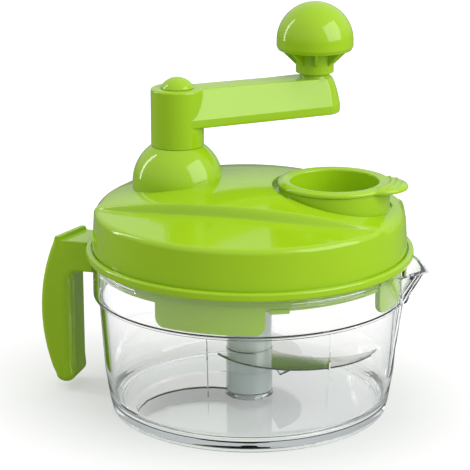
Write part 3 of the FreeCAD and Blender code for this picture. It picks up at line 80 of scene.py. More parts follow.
FLOW_LINE_HALF = 0.45
SPOUT_ROOT = 63.6
SPOUT_BASE = BOWL_RADIUS - 2 * BOWL_WALL
SPOUT_HALF_WIDTH = 28.0
SPOUT_FULLNESS = 1.9
SPOUT_TOP_REACH = 103.4
SPOUT_ROOT_REACH = 87.6
SPOUT_RISE = BOWL_HEIGHT + BOWL_WALL - SPOUT_ROOT
SPOUT_LIP = 87.1
SPOUT_FALL = 3.5 / 14.2
SPOUT_WALL = 2.1
SPOUT_START = 61.5
SPOUT_FADE = 4.5
SPOUT_ROOT_HALF = 4.0
LUG_REACH = 98.0
LUG_HALF_WIDTH = 8.0

# Lid
FLANGE_RADIUS = 90.0
LIP_BOTTOM = 87.5
DECK_BOTTOM = 89.0
DECK_TOP = 92.0
DECK_JOIN = 70.0
PINION_BORE = 10.6
PINION_BOSS = 13.35
PINION_BOSS_TOP = 95.5
GROOVE_FLOOR = 90.6
SHELL_RADIUS = 86.6
SHELL_TAPER = 1.6
SHELL_WALL = 2.2
GROOVE_OUTER = 87.2
SKIRT_OUTER = 82.3
SKIRT_INNER = 80.5
SKIRT_BOTTOM = 80.0
TAB_OUTER = 83.4
TAB_BOTTOM = 67.5
TAB_HALF_ANGLE = 20.5
TAB_ROUND = 5.0
CATCH_HALF_ANGLE = 3.5
CATCH_TOP = 81.3
CATCH_HEIGHT = 2.4
DOME_TOP = 130.0
DOME_CURVE = 240.4
DOME_EDGE = 114.47
CREASE_HEIGHT = 113.5
CREASE_RADIUS = 85.06
HOLLOW_SLOPE = 0.17
RIDGE_CURVE = 172.6
RIDGE_CENTRE = 125.0
RIDGE_LEVEL = 121.7
RIDGE_DRAFT = 0.29
SHOULDER_ROUND = 10.5
EDGE_ROUND = 3.4
# Where the lid's mesh has its lines: offsets from the ridge's curve, and radii round the feed opening
RIDGE_LINES = (-6.5, -5, -4, -3.2, -2.5, -1.9, -1.3, -0.8, -0.3, 0.2, 0.7, 1.1, 1.5, 1.9, 2.4, 3.2, 4.5)
RECESS_RINGS = (34.5, 33.9, 33.72, 33.6, 33.5, 33.4, 33.3, 33.2, 33.08, 32.6, 32.1, 31.78, 31.66, 31.54,
                31.42, 31.3, 31.2, 30.7, 29.5, 28.0)

# Feed opening and cup
FEED_X = 47.2
FEED_RADIUS = 26.4
COLLAR_RADIUS = 30.0
COLLAR_TOP = 129.0
POCKET_RADIUS = 33.4
POCKET_FLOOR = 126.5
FEED_CUTOUT = 28
COLLAR_GROOVE = 31.5
COLLAR_GROOVE_DEPTH = 1.3
CUP_FLANGE = 30.8
CUP_TOP = 131.5
CUP_BOTTOM = 109.5
CUP_OUTER = 25.8
CUP_FOOT = 24.8
CUP_WALL = 1.9
CUP_EDGE = 1.5
CUP_TAB_REACH = 40.0
CUP_TAB_ROUND = 17.0
CUP_CROWN = 0.4
CUP_COLUMNS = 240
GRIP_HEIGHT = 0.75
GRIP_PITCH = 3.2
GRIP_HALF_ANGLES = (17.0, 23.0, 29.0)

# Crank tower, crank and knob
CRANK_X = -41.0
CRANK_ANGLE = 39.0
CRANK_REACH = 83.0
BELL_RADIUS = 25.0
BELL_CENTRE = 125.0
BELL_TOP = 145.4
BELL_FOOT = 112.0
BELL_CUTOUT = 22
BUSH_RADIUS = 8.05
HUB_RADIUS = 14.5
HUB_BOTTOM = 145.5
HUB_TOP = 177.3
HUB_BORE = 4.7
CAP_SEAT = 6.3
CAP_FLOOR = 172.8
CAP_RADIUS = 9.3
CAP_HEIGHT = 5.9
ARM_BOTTOM = 156.5
ARM_FOOT = 159.5
ARM_BAND = 161.2
ARM_TOP = 177.0
ARM_HALF_WIDTH = 12.0
ARM_HALF_TOP = 7.5
ARM_EDGE = 0.8
NECK_RADIUS = 8.3
NECK_FLARE = 1.3
NECK_SWELL = 1.6
ARM_FLARE = 2.5
ROOT_SWELL = 2.4
NECK_TOP = 179.2
KNOB_BOTTOM = 179.4
KNOB_RADIUS = 21.5
KNOB_EDGE = 192.2
KNOB_TOP = 219.0
KNOB_WALL = 2.4
KNOB_CHAMFER = 2.0
KNOB_TUBE = 10.65
KNOB_TUBE_TOP = 205.2
KNOB_PLATE = 191.7
KNOB_BORE = 4.05
GUSSETS = 8
GUSSET_HEIGHT = 7.6
GUSSET_THICKNESS = 1.8

# Handle
HANDLE_HALF_WIDTH = 12.75
BLOCK_INNER = 87.6
BLOCK_CLEAR = 90.4
BLOCK_STEP = 87.1
BLOCK_BOTTOM = 71.6
BLOCK_TOP = 89.2
HANDLE_INNER = 100.6
HANDLE_TOP_REACH = 106.3
HANDLE_TOP_SLANT = 3.2
HANDLE_TIP_REACH = 112.0
HANDLE_BACK_BOW = 8.6
HANDLE_TIP_HEIGHT = 9.0
BLOCK_CORNER = 5.0
HANDLE_INNER_ROUND = 6.0
HANDLE_TIP_ROUND = 4.0
HANDLE_BACK_ROUND = 3.0
RIDGE_TOP = 91.4
THUMB_WIDTH = 3.4

# Blades
SHAFT_RADIUS = 12.5
SHAFT_BOTTOM = 33.2
SHAFT_TOP = 76.0
SHAFT_END = 92.4
SHAFT_HEX = 9.0
SHAFT_RECESS = 5.7
SHAFT_BORE_TOP = 34.2
HEX_SEAT = 5.4
CORE_RADIUS = 8.0
SPACER_RADIUS = 13.0
UNIT_BOTTOM = 5.2
BLADE_LOW = 8.0
BLADE_PITCH = 12.0
BLADE_THICKNESS = 1.2
BLADE_REACH = 71.0
BLADE_HEEL = (-16.6, -13.2)
BLADE_ROOT = (18.0, -10.0)
BLADE_INNER = [(9.0, -1.5), (7.0, 5.0), (-2.0, 6.0), (-7.0, 1.5), (-1.0, -11.0), (5.7, -14.6)]
BLADE_BOW = 29.2
BLADE_BACK_BOW = 11.0
BLADE_RING = 12.4
BLADE_START = 11.0
BLADE_STEP = 108.5
GRIND_WIDTH = 4.2

# Floor and light
FLOOR_GAP = 0.3
FLOOR_REACH = 6.0
FLOOR_COLOUR = (0.55, 0.55, 0.55)
FLOOR_IN_GLOSS = (0.22, 0.22, 0.22)
LAMP_TARGET = (0, 0, 0.1)
WHITE = (1, 1, 1)
# Painted shade where the clear plastic is seen edge on, and the ray depth after which it is left off
CLEAR_EDGE_ON_SHADE = (0.50, 0.57, 0.65)
CLEAR_SHADE = (0.93, 0.945, 0.95)
EDGE_ON_SHADE_DEPTH = 1.5
TRAPPED_DEPTH = 5.5
# Painted shade on the blades' upright faces
BLADE_UPRIGHT_SHADE = (0.05, 0.075, 0.05)


# Mesh tools

def smoothstep(value):
    value = np.clip(value, 0.0, 1.0)
    return value * value * (3 - 2 * value)


def soft_max(first, second, blend):
    """The larger of two heights, rounded where they cross."""
    return np.maximum(first, second) + np.maximum(blend - np.abs(first - second), 0) ** 2 / (4 * blend)


def soft_min(first, second, blend):
    return -soft_max(-first, -second, blend)


def polar(radius, angle, centre=(0, 0)):
    """The point at a radius and an angle in radians from a centre."""
    return centre[0] + radius * math.cos(angle), centre[1] + radius * math.sin(angle)


def arc(centre, radius, start, end, steps=12):
    """Points along an arc; angles in degrees."""
    return [polar(radius, angle, centre) for angle in np.radians(np.linspace(start, end, steps + 1))]


def bowed(first, last, bow, steps=24):
    """Points along an arc between two points; a positive bow bulges to the right of the way along."""
    start = Vector(first)
    end = Vector(last)
    chord = end - start
    radius = (bow * bow + chord.length_squared / 4) / (2 * abs(bow))
    turn = 1 if bow > 0 else -1
    right = Vector((chord.y, -chord.x)).normalized() * turn
    centre = start + chord / 2 + right * (abs(bow) - radius)
    begin = math.atan2(start.y - centre.y, start.x - centre.x)
    sweep = (start - centre).angle(end - centre)
    return [polar(radius, begin + turn * sweep * step / steps, centre) for step in range(steps + 1)]


def rounded(corners, closed=True, steps=6):
    """Outline through (across, up) or (across, up, round) corners."""
    points = []
    count = len(corners)
    for index, corner in enumerate(corners):
        here = Vector(corner[:2])
        radius = corner[2] if len(corner) == 3 else 0
        if radius == 0 or (not closed and index in (0, count - 1)):
            points.append(tuple(here))
            continue
        before = (Vector(corners[index - 1][:2]) - here).normalized()
        after = (Vector(corners[(index + 1) % count][:2]) - here).normalized()
        half = before.angle(after) / 2
        centre = here + (before + after).normalized() * (radius / math.sin(half))
        start = here + before * (radius / math.tan(half)) - centre
        end = here + after * (radius / math.tan(half)) - centre
        begin = math.atan2(start.y, start.x)
        sweep = math.atan2(start.x * end.y - start.y * end.x, start.dot(end))
        points += [polar(radius, begin + sweep * step / steps, centre) for step in range(steps + 1)]
    return points


def strips(rows, columns, wrap_rows=False):
    """Four-sided faces between rows of points."""
    faces = []
    for row in range(rows if wrap_rows else rows - 1):
        after_row = (row + 1) % rows
        for column in range(columns):
            after = (column + 1) % columns
            faces.append((row * columns + column, row * columns + after,
                          after_row * columns + after, after_row * columns + column))
    return faces


def link_object(name, data):
    made = bpy.data.objects.new(name, data)
    bpy.context.scene.collection.objects.link(made)
    return made


def solid(name, points, faces, sharp=35.0):
    """A closed mesh with outward faces, smooth below the sharp angle."""
    mesh = bpy.data.meshes.new(name)
    work = bmesh.new()
    corners = [work.verts.new(Vector(point) * MM) for point in points]
    for face in faces:
        work.faces.new([corners[index] for index in face])
    bmesh.ops.remove_doubles(work, verts=work.verts, dist=0.002 * MM)
    bmesh.ops.dissolve_degenerate(work, edges=work.edges, dist=0.0005 * MM)
    bmesh.ops.recalc_face_normals(work, faces=work.faces)
    if work.calc_volume(signed=True) < 0:
        bmesh.ops.reverse_faces(work, faces=work.faces)
    work.to_mesh(mesh)
    work.free()
    mesh.shade_smooth()
    mesh.set_sharp_from_angle(angle=math.radians(sharp))
    piece = link_object(name, mesh)
    modifier = piece.modifiers.new("weights", "WEIGHTED_NORMAL")
    modifier.keep_sharp = True
    return piece


def lathe(name, outline, centre=(0, 0), columns=180, sharp=35.0):
    """A closed outline of (radius, height) points turned about a vertical axis."""
    points = [(*polar(radius, 2 * math.pi * column / columns, centre), height)
              for radius, height in outline for column in range(columns)]
    return solid(name, points, strips(len(outline), columns, wrap_rows=True), sharp)


def stacked(name, outlines, sharp=35.0):
    """Outlines of equal length, each a list of 3-D points, joined into a closed body."""
    count = len(outlines[0])
    points = [point for outline in outlines for point in outline]
    faces = strips(len(outlines), count)
    faces.append(tuple(range(count)))
    last = (len(outlines) - 1) * count
    faces.append(tuple(range(last, last + count)))
    return solid(name, points, faces, sharp)


def inset(outline, amounts):
    """Move each point of a closed outline inward by its own amount."""
    count = len(outline)
    area = sum(p[0] * q[1] - q[0] * p[1] for p, q in zip(outline, outline[1:] + outline[:1]))
    turn = 1 if area > 0 else -1
    moved = []
    for index, point in enumerate(outline):
        before = Vector(point) - Vector(outline[index - 1])
        after = Vector(outline[(index + 1) % count]) - Vector(point)
        if before.length < TINY:
            before = after
        if after.length < TINY:
            after = before
        first = Vector((-before.y, before.x)).normalized() * turn
        second = Vector((-after.y, after.x)).normalized() * turn
        middle = (first + second).normalized()
        amount = amounts if isinstance(amounts, (int, float)) else amounts[index]
        stretch = 1 / max(middle.dot(first), 0.5)
        moved.append(Vector(point) + middle * amount * stretch)
    return moved


def turned(points, angle, centre=(0, 0)):
    """Turn points about a vertical axis, then move them to its centre."""
    cos = math.cos(math.radians(angle))
    sin = math.sin(math.radians(angle))
    return [(centre[0] + x * cos - y * sin, centre[1] + x * sin + y * cos, z) for x, y, z in points]


def bar(name, outline, levels, place=lambda points: points, sharp=35.0):
    """A body of stacked outlines; each level is (height, inset)."""
    return stacked(name, [place([(p.x, p.y, height) for p in inset(outline, amount)])
                          for height, amount in levels], sharp)


def put(piece, body, slot, *nodes):
    """Give a piece its body and the material of its slot, and hide the CAD nodes it stands for."""
    piece.data.materials.append(MATERIALS[slot])
    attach(piece, body)
    if nodes:
        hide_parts(*nodes)


# Materials

def rgba(colour):
    return (*colour, 1)


class Graph:
    """The node tree of a material or a world, with short ways to add to it."""

    def __init__(self, owner):
        owner.use_nodes = True
        self.owner = owner
        self.nodes = owner.node_tree.nodes
        self.links = owner.node_tree.links
        self.shader = self.nodes.get("Principled BSDF")

    def feed(self, node, inputs):
        """Set each input to a value, or link it where another node's output is given."""
        for name, value in inputs.items():
            if isinstance(value, bpy.types.NodeSocket):
                self.links.new(value, node.inputs[name])
            else:
                node.inputs[name].default_value = value

    def add(self, kind, inputs=None):
        node = self.nodes.new("ShaderNode" + kind)
        self.feed(node, inputs or {})
        return node

    def math(self, operation, first, second=0.0, clamp=False):
        node = self.add("Math", {0: first, 1: second})
        node.operation = operation
        node.use_clamp = clamp
        return node.outputs["Value"]

    def mix(self, factor, first, second, kind="MIX"):
        node = self.add("MixRGB", {"Fac": factor, "Color1": first, "Color2": second})
        node.blend_type = kind
        return node.outputs["Color"]

    def noise(self, scale, detail=3.0, stretch=None):
        """Noise in the object's own coordinates."""
        place = self.add("TexCoord").outputs["Object"]
        if stretch:
            place = self.add("Mapping", {"Vector": place, "Scale": stretch}).outputs["Vector"]
        return self.add("TexNoise", {"Vector": place, "Scale": scale, "Detail": detail}).outputs["Fac"]

    def between(self, factor, low, high, start=0.0, end=1.0):
        """Map a factor that runs from start to end onto the numbers from low to high."""
        inputs = {"Value": factor, "From Min": start, "From Max": end, "To Min": low, "To Max": high}
        return self.add("MapRange", inputs).outputs["Result"]

    def ramp(self, factor, low, high, low_place=0.0, high_place=1.0):
        """Blend from one colour to another between two places of a factor."""
        node = self.add("ValToRGB", {"Fac": factor})
        first, second = node.color_ramp.elements
        first.position = low_place
        first.color = rgba(low)
        second.position = high_place
        second.color = rgba(high)
        return node.outputs["Color"]

    def bump(self, factor, distance):
        return self.add("Bump", {"Height": factor, "Distance": distance}).outputs["Normal"]

    def finish(self, inputs):
        """Feed the shader and give back the material."""
        self.feed(self.shader, inputs)
        return self.owner


def new_material(name):
    return Graph(bpy.data.materials.new(name))


def green_plastic():
    """Glossy lime green moulding, with faint clouding and the slight waviness of a moulded face."""
    graph = new_material("green_plastic")
    return graph.finish({
        "Base Color": graph.ramp(graph.noise(30), (0.308, 0.525, 0.008), (0.328, 0.55, 0.011)),
        "Roughness": graph.between(graph.noise(400), 0.08, 0.14),
        "Normal": graph.bump(graph.noise(60, 1.0), 0.00002),
        "IOR": 1.48,
    })


def clear_plastic():
    """Clear plastic with painted edge shade: it darkens where it is seen edge on. Light passes through to
    what it holds.
    """
    graph = new_material("clear_plastic")
    # Painted edge shade: the colour turns grey-blue where the surface is seen edge on.
    facing = graph.add("LayerWeight", {"Blend": 0.28}).outputs["Facing"]
    painted_edge_on_shade = graph.ramp(facing, WHITE, CLEAR_EDGE_ON_SHADE, low_place=0.3)
    path = graph.add("LightPath").outputs
    behind = graph.math("GREATER_THAN", path["Ray Depth"], EDGE_ON_SHADE_DEPTH)
    graph.finish({
        "Base Color": graph.mix(behind, painted_edge_on_shade, rgba(WHITE)),
        "Roughness": 0.0,
        "Normal": graph.bump(graph.noise(25, 2.0), 0.00002),
        "Transmission Weight": 1.0,
        "IOR": 1.49,
    })
    soft_light = graph.math("MAXIMUM", path["Is Shadow Ray"], path["Is Diffuse Ray"])
    trapped = graph.math("GREATER_THAN", path["Ray Depth"], TRAPPED_DEPTH)
    through = graph.add("BsdfTransparent", {"Color": rgba(CLEAR_SHADE)})
    mixed = graph.add("MixShader", {
        "Fac": graph.math("MAXIMUM", soft_light, trapped),
        1: graph.shader.outputs["BSDF"],
        2: through.outputs["BSDF"],
    })
    graph.feed(graph.nodes["Material Output"], {"Surface": mixed.outputs["Shader"]})
    return graph.owner


def hub_plastic():
    """Frosted smoky plastic: a little light goes through and the surface stays glossy."""
    graph = new_material("hub_plastic")
    cloud = graph.noise(60)
    return graph.finish({
        "Base Color": graph.ramp(cloud, (0.76, 0.85, 0.82), (0.82, 0.90, 0.87)),
        "Roughness": graph.between(cloud, 0.16, 0.26),
        "Normal": graph.bump(graph.noise(200, 2.0), 0.00001),
        "Transmission Weight": 0.25,
        "IOR": 1.3,
        "Coat Weight": 0.6,
        "Coat Roughness": 0.04,
    })


def metal(name, colour, roughness, scale, stretch):
    """Steel with fine grinding marks."""
    graph = new_material(name)
    marks = graph.noise(scale, 2.0, stretch)
    return graph.finish({
        "Metallic": 1.0,
        "Base Color": graph.ramp(marks, tuple(channel * 0.9 for channel in colour), colour),
        "Roughness": graph.between(marks, roughness * 0.7, roughness * 1.3),
        "Normal": graph.bump(marks, 0.000006),
    })


def blade_metal():
    """Polished blade steel. Its upright faces, such as the sheared face along its edge, carry painted shade.
    """
    graph = Graph(metal("blade_steel", (0.76, 0.76, 0.74), 0.10, 500, (6, 1, 1)))
    polished = graph.shader.inputs["Base Color"].links[0].from_socket
    normal = graph.add("NewGeometry").outputs["True Normal"]
    upright = graph.math("ABSOLUTE", graph.add("SeparateXYZ", {"Vector": normal}).outputs["Z"])
    # Painted shade: faces that stand upright are darkened almost to black.
    painted_upright_shade = graph.ramp(upright, BLADE_UPRIGHT_SHADE, WHITE, 0.35, 0.75)
    return graph.finish({"Base Color": graph.mix(1.0, polished, painted_upright_shade, "MULTIPLY")})


def moulded(name, colour, roughness):
    """Dull moulded plastic, such as nylon or acetal."""
    graph = new_material(name)
    cloud = graph.noise(150)
    return graph.finish({
        "Base Color": graph.ramp(cloud, tuple(channel * 0.93 for channel in colour), colour),
        "Roughness": graph.between(cloud, roughness - 0.05, roughness + 0.05),
        "Normal": graph.bump(graph.noise(900), 0.00001),
    })


MATERIALS = {
    "green_plastic": green_plastic(),
    "clear_plastic": clear_plastic(),
    "hub_plastic": hub_plastic(),
    "steel": metal("steel", (0.62, 0.62, 0.63), 0.22, 700, (1, 1, 6)),
    "blade_steel": blade_metal(),
    "nylon": moulded("nylon", (0.82, 0.81, 0.77), 0.42),
    "acetal": moulded("acetal", (0.88, 0.88, 0.87), 0.35),
}
GREEN = "green_plastic"
CLEAR = "clear_plastic"
HUB = "hub_plastic"
BLADE = "blade_steel"


# Bowl

def spout_reach(angle, height, wall):
    """Radius of the beak's outside, or of its inside when a wall is given, along an angle from +X."""
    share = min(max((height - SPOUT_ROOT) / SPOUT_RISE, 0.0), 1.0)
    half_width = SPOUT_ROOT_HALF + (SPOUT_HALF_WIDTH - SPOUT_ROOT_HALF) * share ** 0.8 - wall
    rise = 0.65 * share + 0.35 * share * share
    apex = SPOUT_ROOT_REACH + (SPOUT_TOP_REACH - SPOUT_ROOT_REACH) * rise - wall * 1.5
    along = np.linspace(1, 0, 60)
    x = SPOUT_BASE + (apex - SPOUT_BASE) * along
    y = half_width * (1 - along ** SPOUT_FULLNESS)
    return float(np.interp(abs(angle), np.arctan2(y, x), np.hypot(x, y), right=0.0))


def bowl_place(angle, radius, height, inside):
    """Where a point of the bowl's outline goes at an angle, with the beak drawn out of the wall."""
    if height < SPOUT_START or abs(angle) > math.radians(30):
        return radius, height
    wall = SPOUT_WALL if inside else 0.0
    reach = spout_reach(angle, min(height, SPOUT_LIP), wall)
    base = radius if inside else min(radius, BOWL_RADIUS)
    drawn = float(soft_max(np.array(base), np.array(reach), 1.0)) if reach > base - 1 else base
    drawn = base + (drawn - base) * float(smoothstep((height - SPOUT_START) / SPOUT_FADE))
    share = min(max((drawn - base) / 1.5, 0.0), 1.0)
    radius = drawn + (radius - base) * (1 - share)
    top = BOWL_HEIGHT - (BOWL_HEIGHT - SPOUT_LIP) * share - max(drawn - BOWL_RADIUS, 0) * SPOUT_FALL * share
    return radius, min(height, top)


def bowl_angles():
    """Angles round the bowl, closer together at the beak and at the flow lines in its wall."""
    angles = set(np.arange(-180.0, 180.0, 2.0))
    angles |= set(np.arange(-22.0, 22.01, 0.5))
    for line in FLOW_LINES:
        angles |= {line - FLOW_LINE_HALF, line - 0.2, line, line + 0.2, line + FLOW_LINE_HALF}
    return sorted(math.radians(a) for a in angles)


def flow_line(angle, height):
    """How far the wall stands in at a flow line of the moulding."""
    if height < KNEE_HEIGHT or height > STEP_HEIGHT - 0.5:
        return 0.0
    nearest = min(abs(math.degrees(angle) - line) for line in FLOW_LINES)
    return FLOW_LINE_DEPTH * float(smoothstep(1 - nearest / FLOW_LINE_HALF))


def make_bowl():
    outside = rounded([
        (0, FLOOR_BOTTOM),
        (FOOT_RADIUS - FOOT_WIDTH, FLOOR_BOTTOM, 0.6),
        (FOOT_RADIUS - FOOT_WIDTH, 0, 0.6),
        (FOOT_RADIUS, 0, 1.2),
        (HEEL_RADIUS, HEEL_HEIGHT, FLOOR_ROUND),
        (KNEE_RADIUS, KNEE_HEIGHT, 30.0),
        (WAIST_RADIUS, STEP_HEIGHT - 0.7, 0.5),
        (BOWL_RADIUS, STEP_HEIGHT + 0.7, 0.7),
        *[(BOWL_RADIUS, height) for height in range(68, 84, 2)],
        (BOWL_RADIUS, BEAD_BOTTOM - BEAD_DEPTH, 0.4),
        (BOWL_RADIUS + BEAD_DEPTH, BEAD_BOTTOM, 0.4),
        (BOWL_RADIUS + BEAD_DEPTH, BEAD_TOP, 0.4),
        (BOWL_RADIUS, BEAD_TOP, 0.1),
        (BOWL_RADIUS, BOWL_HEIGHT, 0.5),
        (BOWL_RADIUS - BOWL_WALL / 2, BOWL_HEIGHT),
    ], closed=False, steps=5)
    band_inner = BOWL_RADIUS - BOWL_WALL
    inside = rounded([
        (BOWL_RADIUS - BOWL_WALL / 2, BOWL_HEIGHT),
        (band_inner, BOWL_HEIGHT, 0.5),
        *[(band_inner, height) for height in range(86, 68, -2)],
        (band_inner, STEP_HEIGHT + 2.1, 0.6),
        (WAIST_RADIUS - BOWL_WALL, STEP_HEIGHT + 0.7, 0.6),
        (KNEE_RADIUS - BOWL_WALL, KNEE_HEIGHT, 30.0),
        (HEEL_RADIUS - BOWL_WALL, FLOOR_TOP, FLOOR_ROUND),
        (BOSS_RADIUS, FLOOR_TOP, 0.8),
        (BOSS_RADIUS, BOSS_TOP, 0.5),
        (PIN_RADIUS + 0.02, BOSS_TOP, 0.2),
        (PIN_RADIUS + 0.02, PIN_SEAT - 0.02),
        (0, PIN_SEAT - 0.02),
    ], closed=False, steps=5)
    angles = bowl_angles()
    points = []
    for is_inside, outline in ((False, outside), (True, inside)):
        for radius, height in outline:
            for angle in angles:
                r, z = bowl_place(angle, radius, height, is_inside)
                if not is_inside:
                    r -= flow_line(angle, height)
                points.append((*polar(r, angle), z))
    bowl = solid("clear_bowl", points, strips(len(outside) + len(inside), len(angles)), sharp=30)
    put(bowl, "bowl", CLEAR, "bowl")

    root = -BOWL_RADIUS - 0.15
    half = LUG_HALF_WIDTH
    lug = [(-LUG_REACH, -half), (root, -half), (root, half), (-LUG_REACH, half)]
    piece = bar("clear_lug", lug, [(80.8, 0.5), (81.3, 0), (85.5, 0), (86.0, 0.5)])
    put(piece, "bowl", CLEAR)
    for quarter in range(4):
        rib = polar_block("clear_rib_%d" % quarter, band_inner - RIB_DEPTH, band_inner - 0.04, RIB_BOTTOM,
                          RIB_TOP, RIB_ANGLE + QUARTER * quarter, RIB_HALF_ANGLE, 0.0, 0.2)
        put(rib, "bowl", CLEAR)


# Handle

def handle_outline(top_reach):
    """Side view of the handle, distances outward from the bowl's axis, each point with its edge round."""
    found = []

    def add(part, size):
        found.extend((point, size) for point in part)

    add([(BLOCK_INNER, BLOCK_BOTTOM)], 1.2)
    corner = (HANDLE_INNER - BLOCK_CORNER, BLOCK_BOTTOM - BLOCK_CORNER)
    for number, point in enumerate(arc(corner, BLOCK_CORNER, 90, 0, 8)):
        add([point], 1.5 + (HANDLE_INNER_ROUND - 1.5) * number / 10)
    add([(HANDLE_INNER, height) for height in np.linspace(corner[1] - 2, 16, 7)], HANDLE_INNER_ROUND)
    tip_middle = (HANDLE_INNER + HANDLE_TIP_REACH) / 2
    half = (HANDLE_TIP_REACH - HANDLE_INNER) / 2
    tip = [(tip_middle + half * math.cos(math.radians(a)),
            HANDLE_TIP_HEIGHT + (half - 0.9) * math.sin(math.radians(a))) for a in np.linspace(180, 360, 15)]
    add(tip, HANDLE_TIP_ROUND)
    back = bowed((HANDLE_TIP_REACH, HANDLE_TIP_HEIGHT), (top_reach, RIDGE_TOP), HANDLE_BACK_BOW, 20)
    add(back[1:-1], HANDLE_BACK_ROUND)
    add(rounded([
        back[-2],
        (top_reach, RIDGE_TOP, 0.8),
        (top_reach - THUMB_WIDTH * 0.8, RIDGE_TOP, 0.8),
        (top_reach - THUMB_WIDTH * 1.1, BLOCK_TOP, 0.5),
        (BLOCK_CLEAR, BLOCK_TOP, 0.6),
        (BLOCK_CLEAR, BLOCK_STEP, 0.2),
        (BLOCK_INNER, BLOCK_STEP, 0.5),
        (BLOCK_INNER, BLOCK_BOTTOM),
    ], closed=False)[1:-1], 0.7)
    return [point for point, size in found], [size for point, size in found]


def make_handle():
    """The grip as one body, with its thumb ridge slanting across the top."""
    rows = []
    for side in (-1, 1):
        outline, rounds = handle_outline(HANDLE_TOP_REACH - side * HANDLE_TOP_SLANT)
        for cos, sin in arc((0, 0), 1, 45 + 45 * side, 45 - 45 * side, 9):
            moved = inset(outline, [size * (1 - sin) for size in rounds])
            rows.append([(-p.x, side * (HANDLE_HALF_WIDTH - size * (1 - cos)), p.y)
                         for p, size in zip(moved, rounds)])
    handle = stacked("green_handle", rows, sharp=50)
    put(handle, "bowl", GREEN, "handle_shell", "handle_cover")


# Lid

def plate_with_hole(name, rim, hole_centre, hole_radius, bottom, top):
    """A flat round plate with a round hole."""
    outside = 120
    inside = 96
    flat = [Vector(p) for p in arc((0, 0), rim, 0, FULL_TURN, outside)[:-1]]
    flat += [Vector(p) for p in arc((hole_centre, 0), hole_radius, 0, FULL_TURN, inside)[:-1]]
    edges = [(i, (i + 1) % outside) for i in range(outside)]
    edges += [(outside + i, outside + (i + 1) % inside) for i in range(inside)]
    found, _, triangles, _, _, _ = geometry.delaunay_2d_cdt(flat, edges, [], 0, 1e-5)
    kept = []
    for triangle in triangles:
        middle = sum((found[i] for i in triangle), Vector((-3 * hole_centre, 0))) / 3
        if middle.length > hole_radius * 0.999:
            kept.append(tuple(triangle))
    count = len(found)
    points = [(p.x, p.y, bottom) for p in found] + [(p.x, p.y, top) for p in found]
    faces = [tuple(reversed(t)) for t in kept] + [tuple(i + count for i in t) for t in kept]
    for first, second in edges:
        faces.append((first, second, second + count, first + count))
    return solid(name, points, faces)


def polar_block(name, inner, outer, bottom, top, middle, half_angle, corner=0.0, soft=0.5):
    """A block that follows the bowl's wall, its lower corners rounded; the angles are degrees."""
    half_length = math.radians(half_angle) * outer
    if corner:
        along = [half_length - corner * (1 - math.cos(a)) for a in np.linspace(0, math.pi / 2, 9)]
        raised = [corner * (1 - math.sin(a)) for a in np.linspace(0, math.pi / 2, 9)]
    else:
        along = [half_length, half_length - soft]
        raised = [0.0, 0.0]
    columns = [(-a, r) for a, r in zip(along, raised)]
    columns += [(a, 0.0) for a in np.linspace(-along[-1], along[-1], 25)[1:-1]]
    columns += [(a, r) for a, r in reversed(list(zip(along, raised)))]
    section = [(outer, top, 0), (outer, bottom, soft), (outer - soft * 0.3, bottom, soft * 0.3),
               (outer - soft, bottom, 0), (inner + soft, bottom, 0), (inner, bottom, soft), (inner, top, 0)]
    outlines = []
    for along_wall, lift in columns:
        angle = math.radians(middle) + along_wall / outer
        outlines.append([(*polar(radius, angle), height + (lift if height == bottom else 0) + extra)
                         for radius, height, extra in section])
    return stacked(name, outlines, sharp=40)


def make_lid_base():
    ring = rounded([
        (DECK_JOIN, DECK_BOTTOM),
        (SKIRT_INNER, DECK_BOTTOM, 0.4),
        (SKIRT_INNER, SKIRT_BOTTOM, 0.5),
        (SKIRT_OUTER, SKIRT_BOTTOM, 0.5),
        (SKIRT_OUTER, DECK_BOTTOM, 0.3),
        (BOWL_RADIUS + 0.6, DECK_BOTTOM, 0.2),
        (BOWL_RADIUS + 0.6, LIP_BOTTOM, 0.3),
        (FLANGE_RADIUS, LIP_BOTTOM, 1.2),
        (FLANGE_RADIUS, DECK_TOP, 1.3),
        (GROOVE_OUTER, DECK_TOP, 0.3),
        (GROOVE_OUTER, GROOVE_FLOOR),
        (SHELL_RADIUS - SHELL_WALL, GROOVE_FLOOR),
        (SHELL_RADIUS - SHELL_WALL, DECK_TOP),
        (DECK_JOIN, DECK_TOP),
    ])
    put(lathe("lid_flange", ring, columns=240), "lid", GREEN, "lid_base")
    deck = plate_with_hole("lid_deck", DECK_JOIN + 0.05, FEED_X, FEED_RADIUS,
                           DECK_BOTTOM + 0.01, DECK_TOP - 0.01)
    put(deck, "lid", GREEN)
    boss = rounded([(PINION_BORE, SKIRT_BOTTOM, 0.3), (PINION_BOSS, SKIRT_BOTTOM, 0.6),
                    (PINION_BOSS, PINION_BOSS_TOP, 0.4), (PINION_BORE, PINION_BOSS_TOP, 0.2)])
    put(lathe("lid_boss", boss, columns=96), "lid", GREEN)
    for quarter in range(4):
        tab = polar_block("lid_tab_%d" % quarter, SKIRT_INNER + 0.02, TAB_OUTER, TAB_BOTTOM, DECK_BOTTOM,
                          QUARTER * quarter, TAB_HALF_ANGLE, TAB_ROUND, 0.6)
        put(tab, "lid", GREEN)
        place = RIB_ANGLE + QUARTER * quarter - RIB_HALF_ANGLE - CATCH_HALF_ANGLE - 0.8
        catch = polar_block("lid_catch_%d" % quarter, SKIRT_INNER + 0.1, TAB_OUTER, CATCH_TOP - CATCH_HEIGHT,
                            CATCH_TOP, place, CATCH_HALF_ANGLE, 0.0, 0.3)
        put(catch, "lid", GREEN)


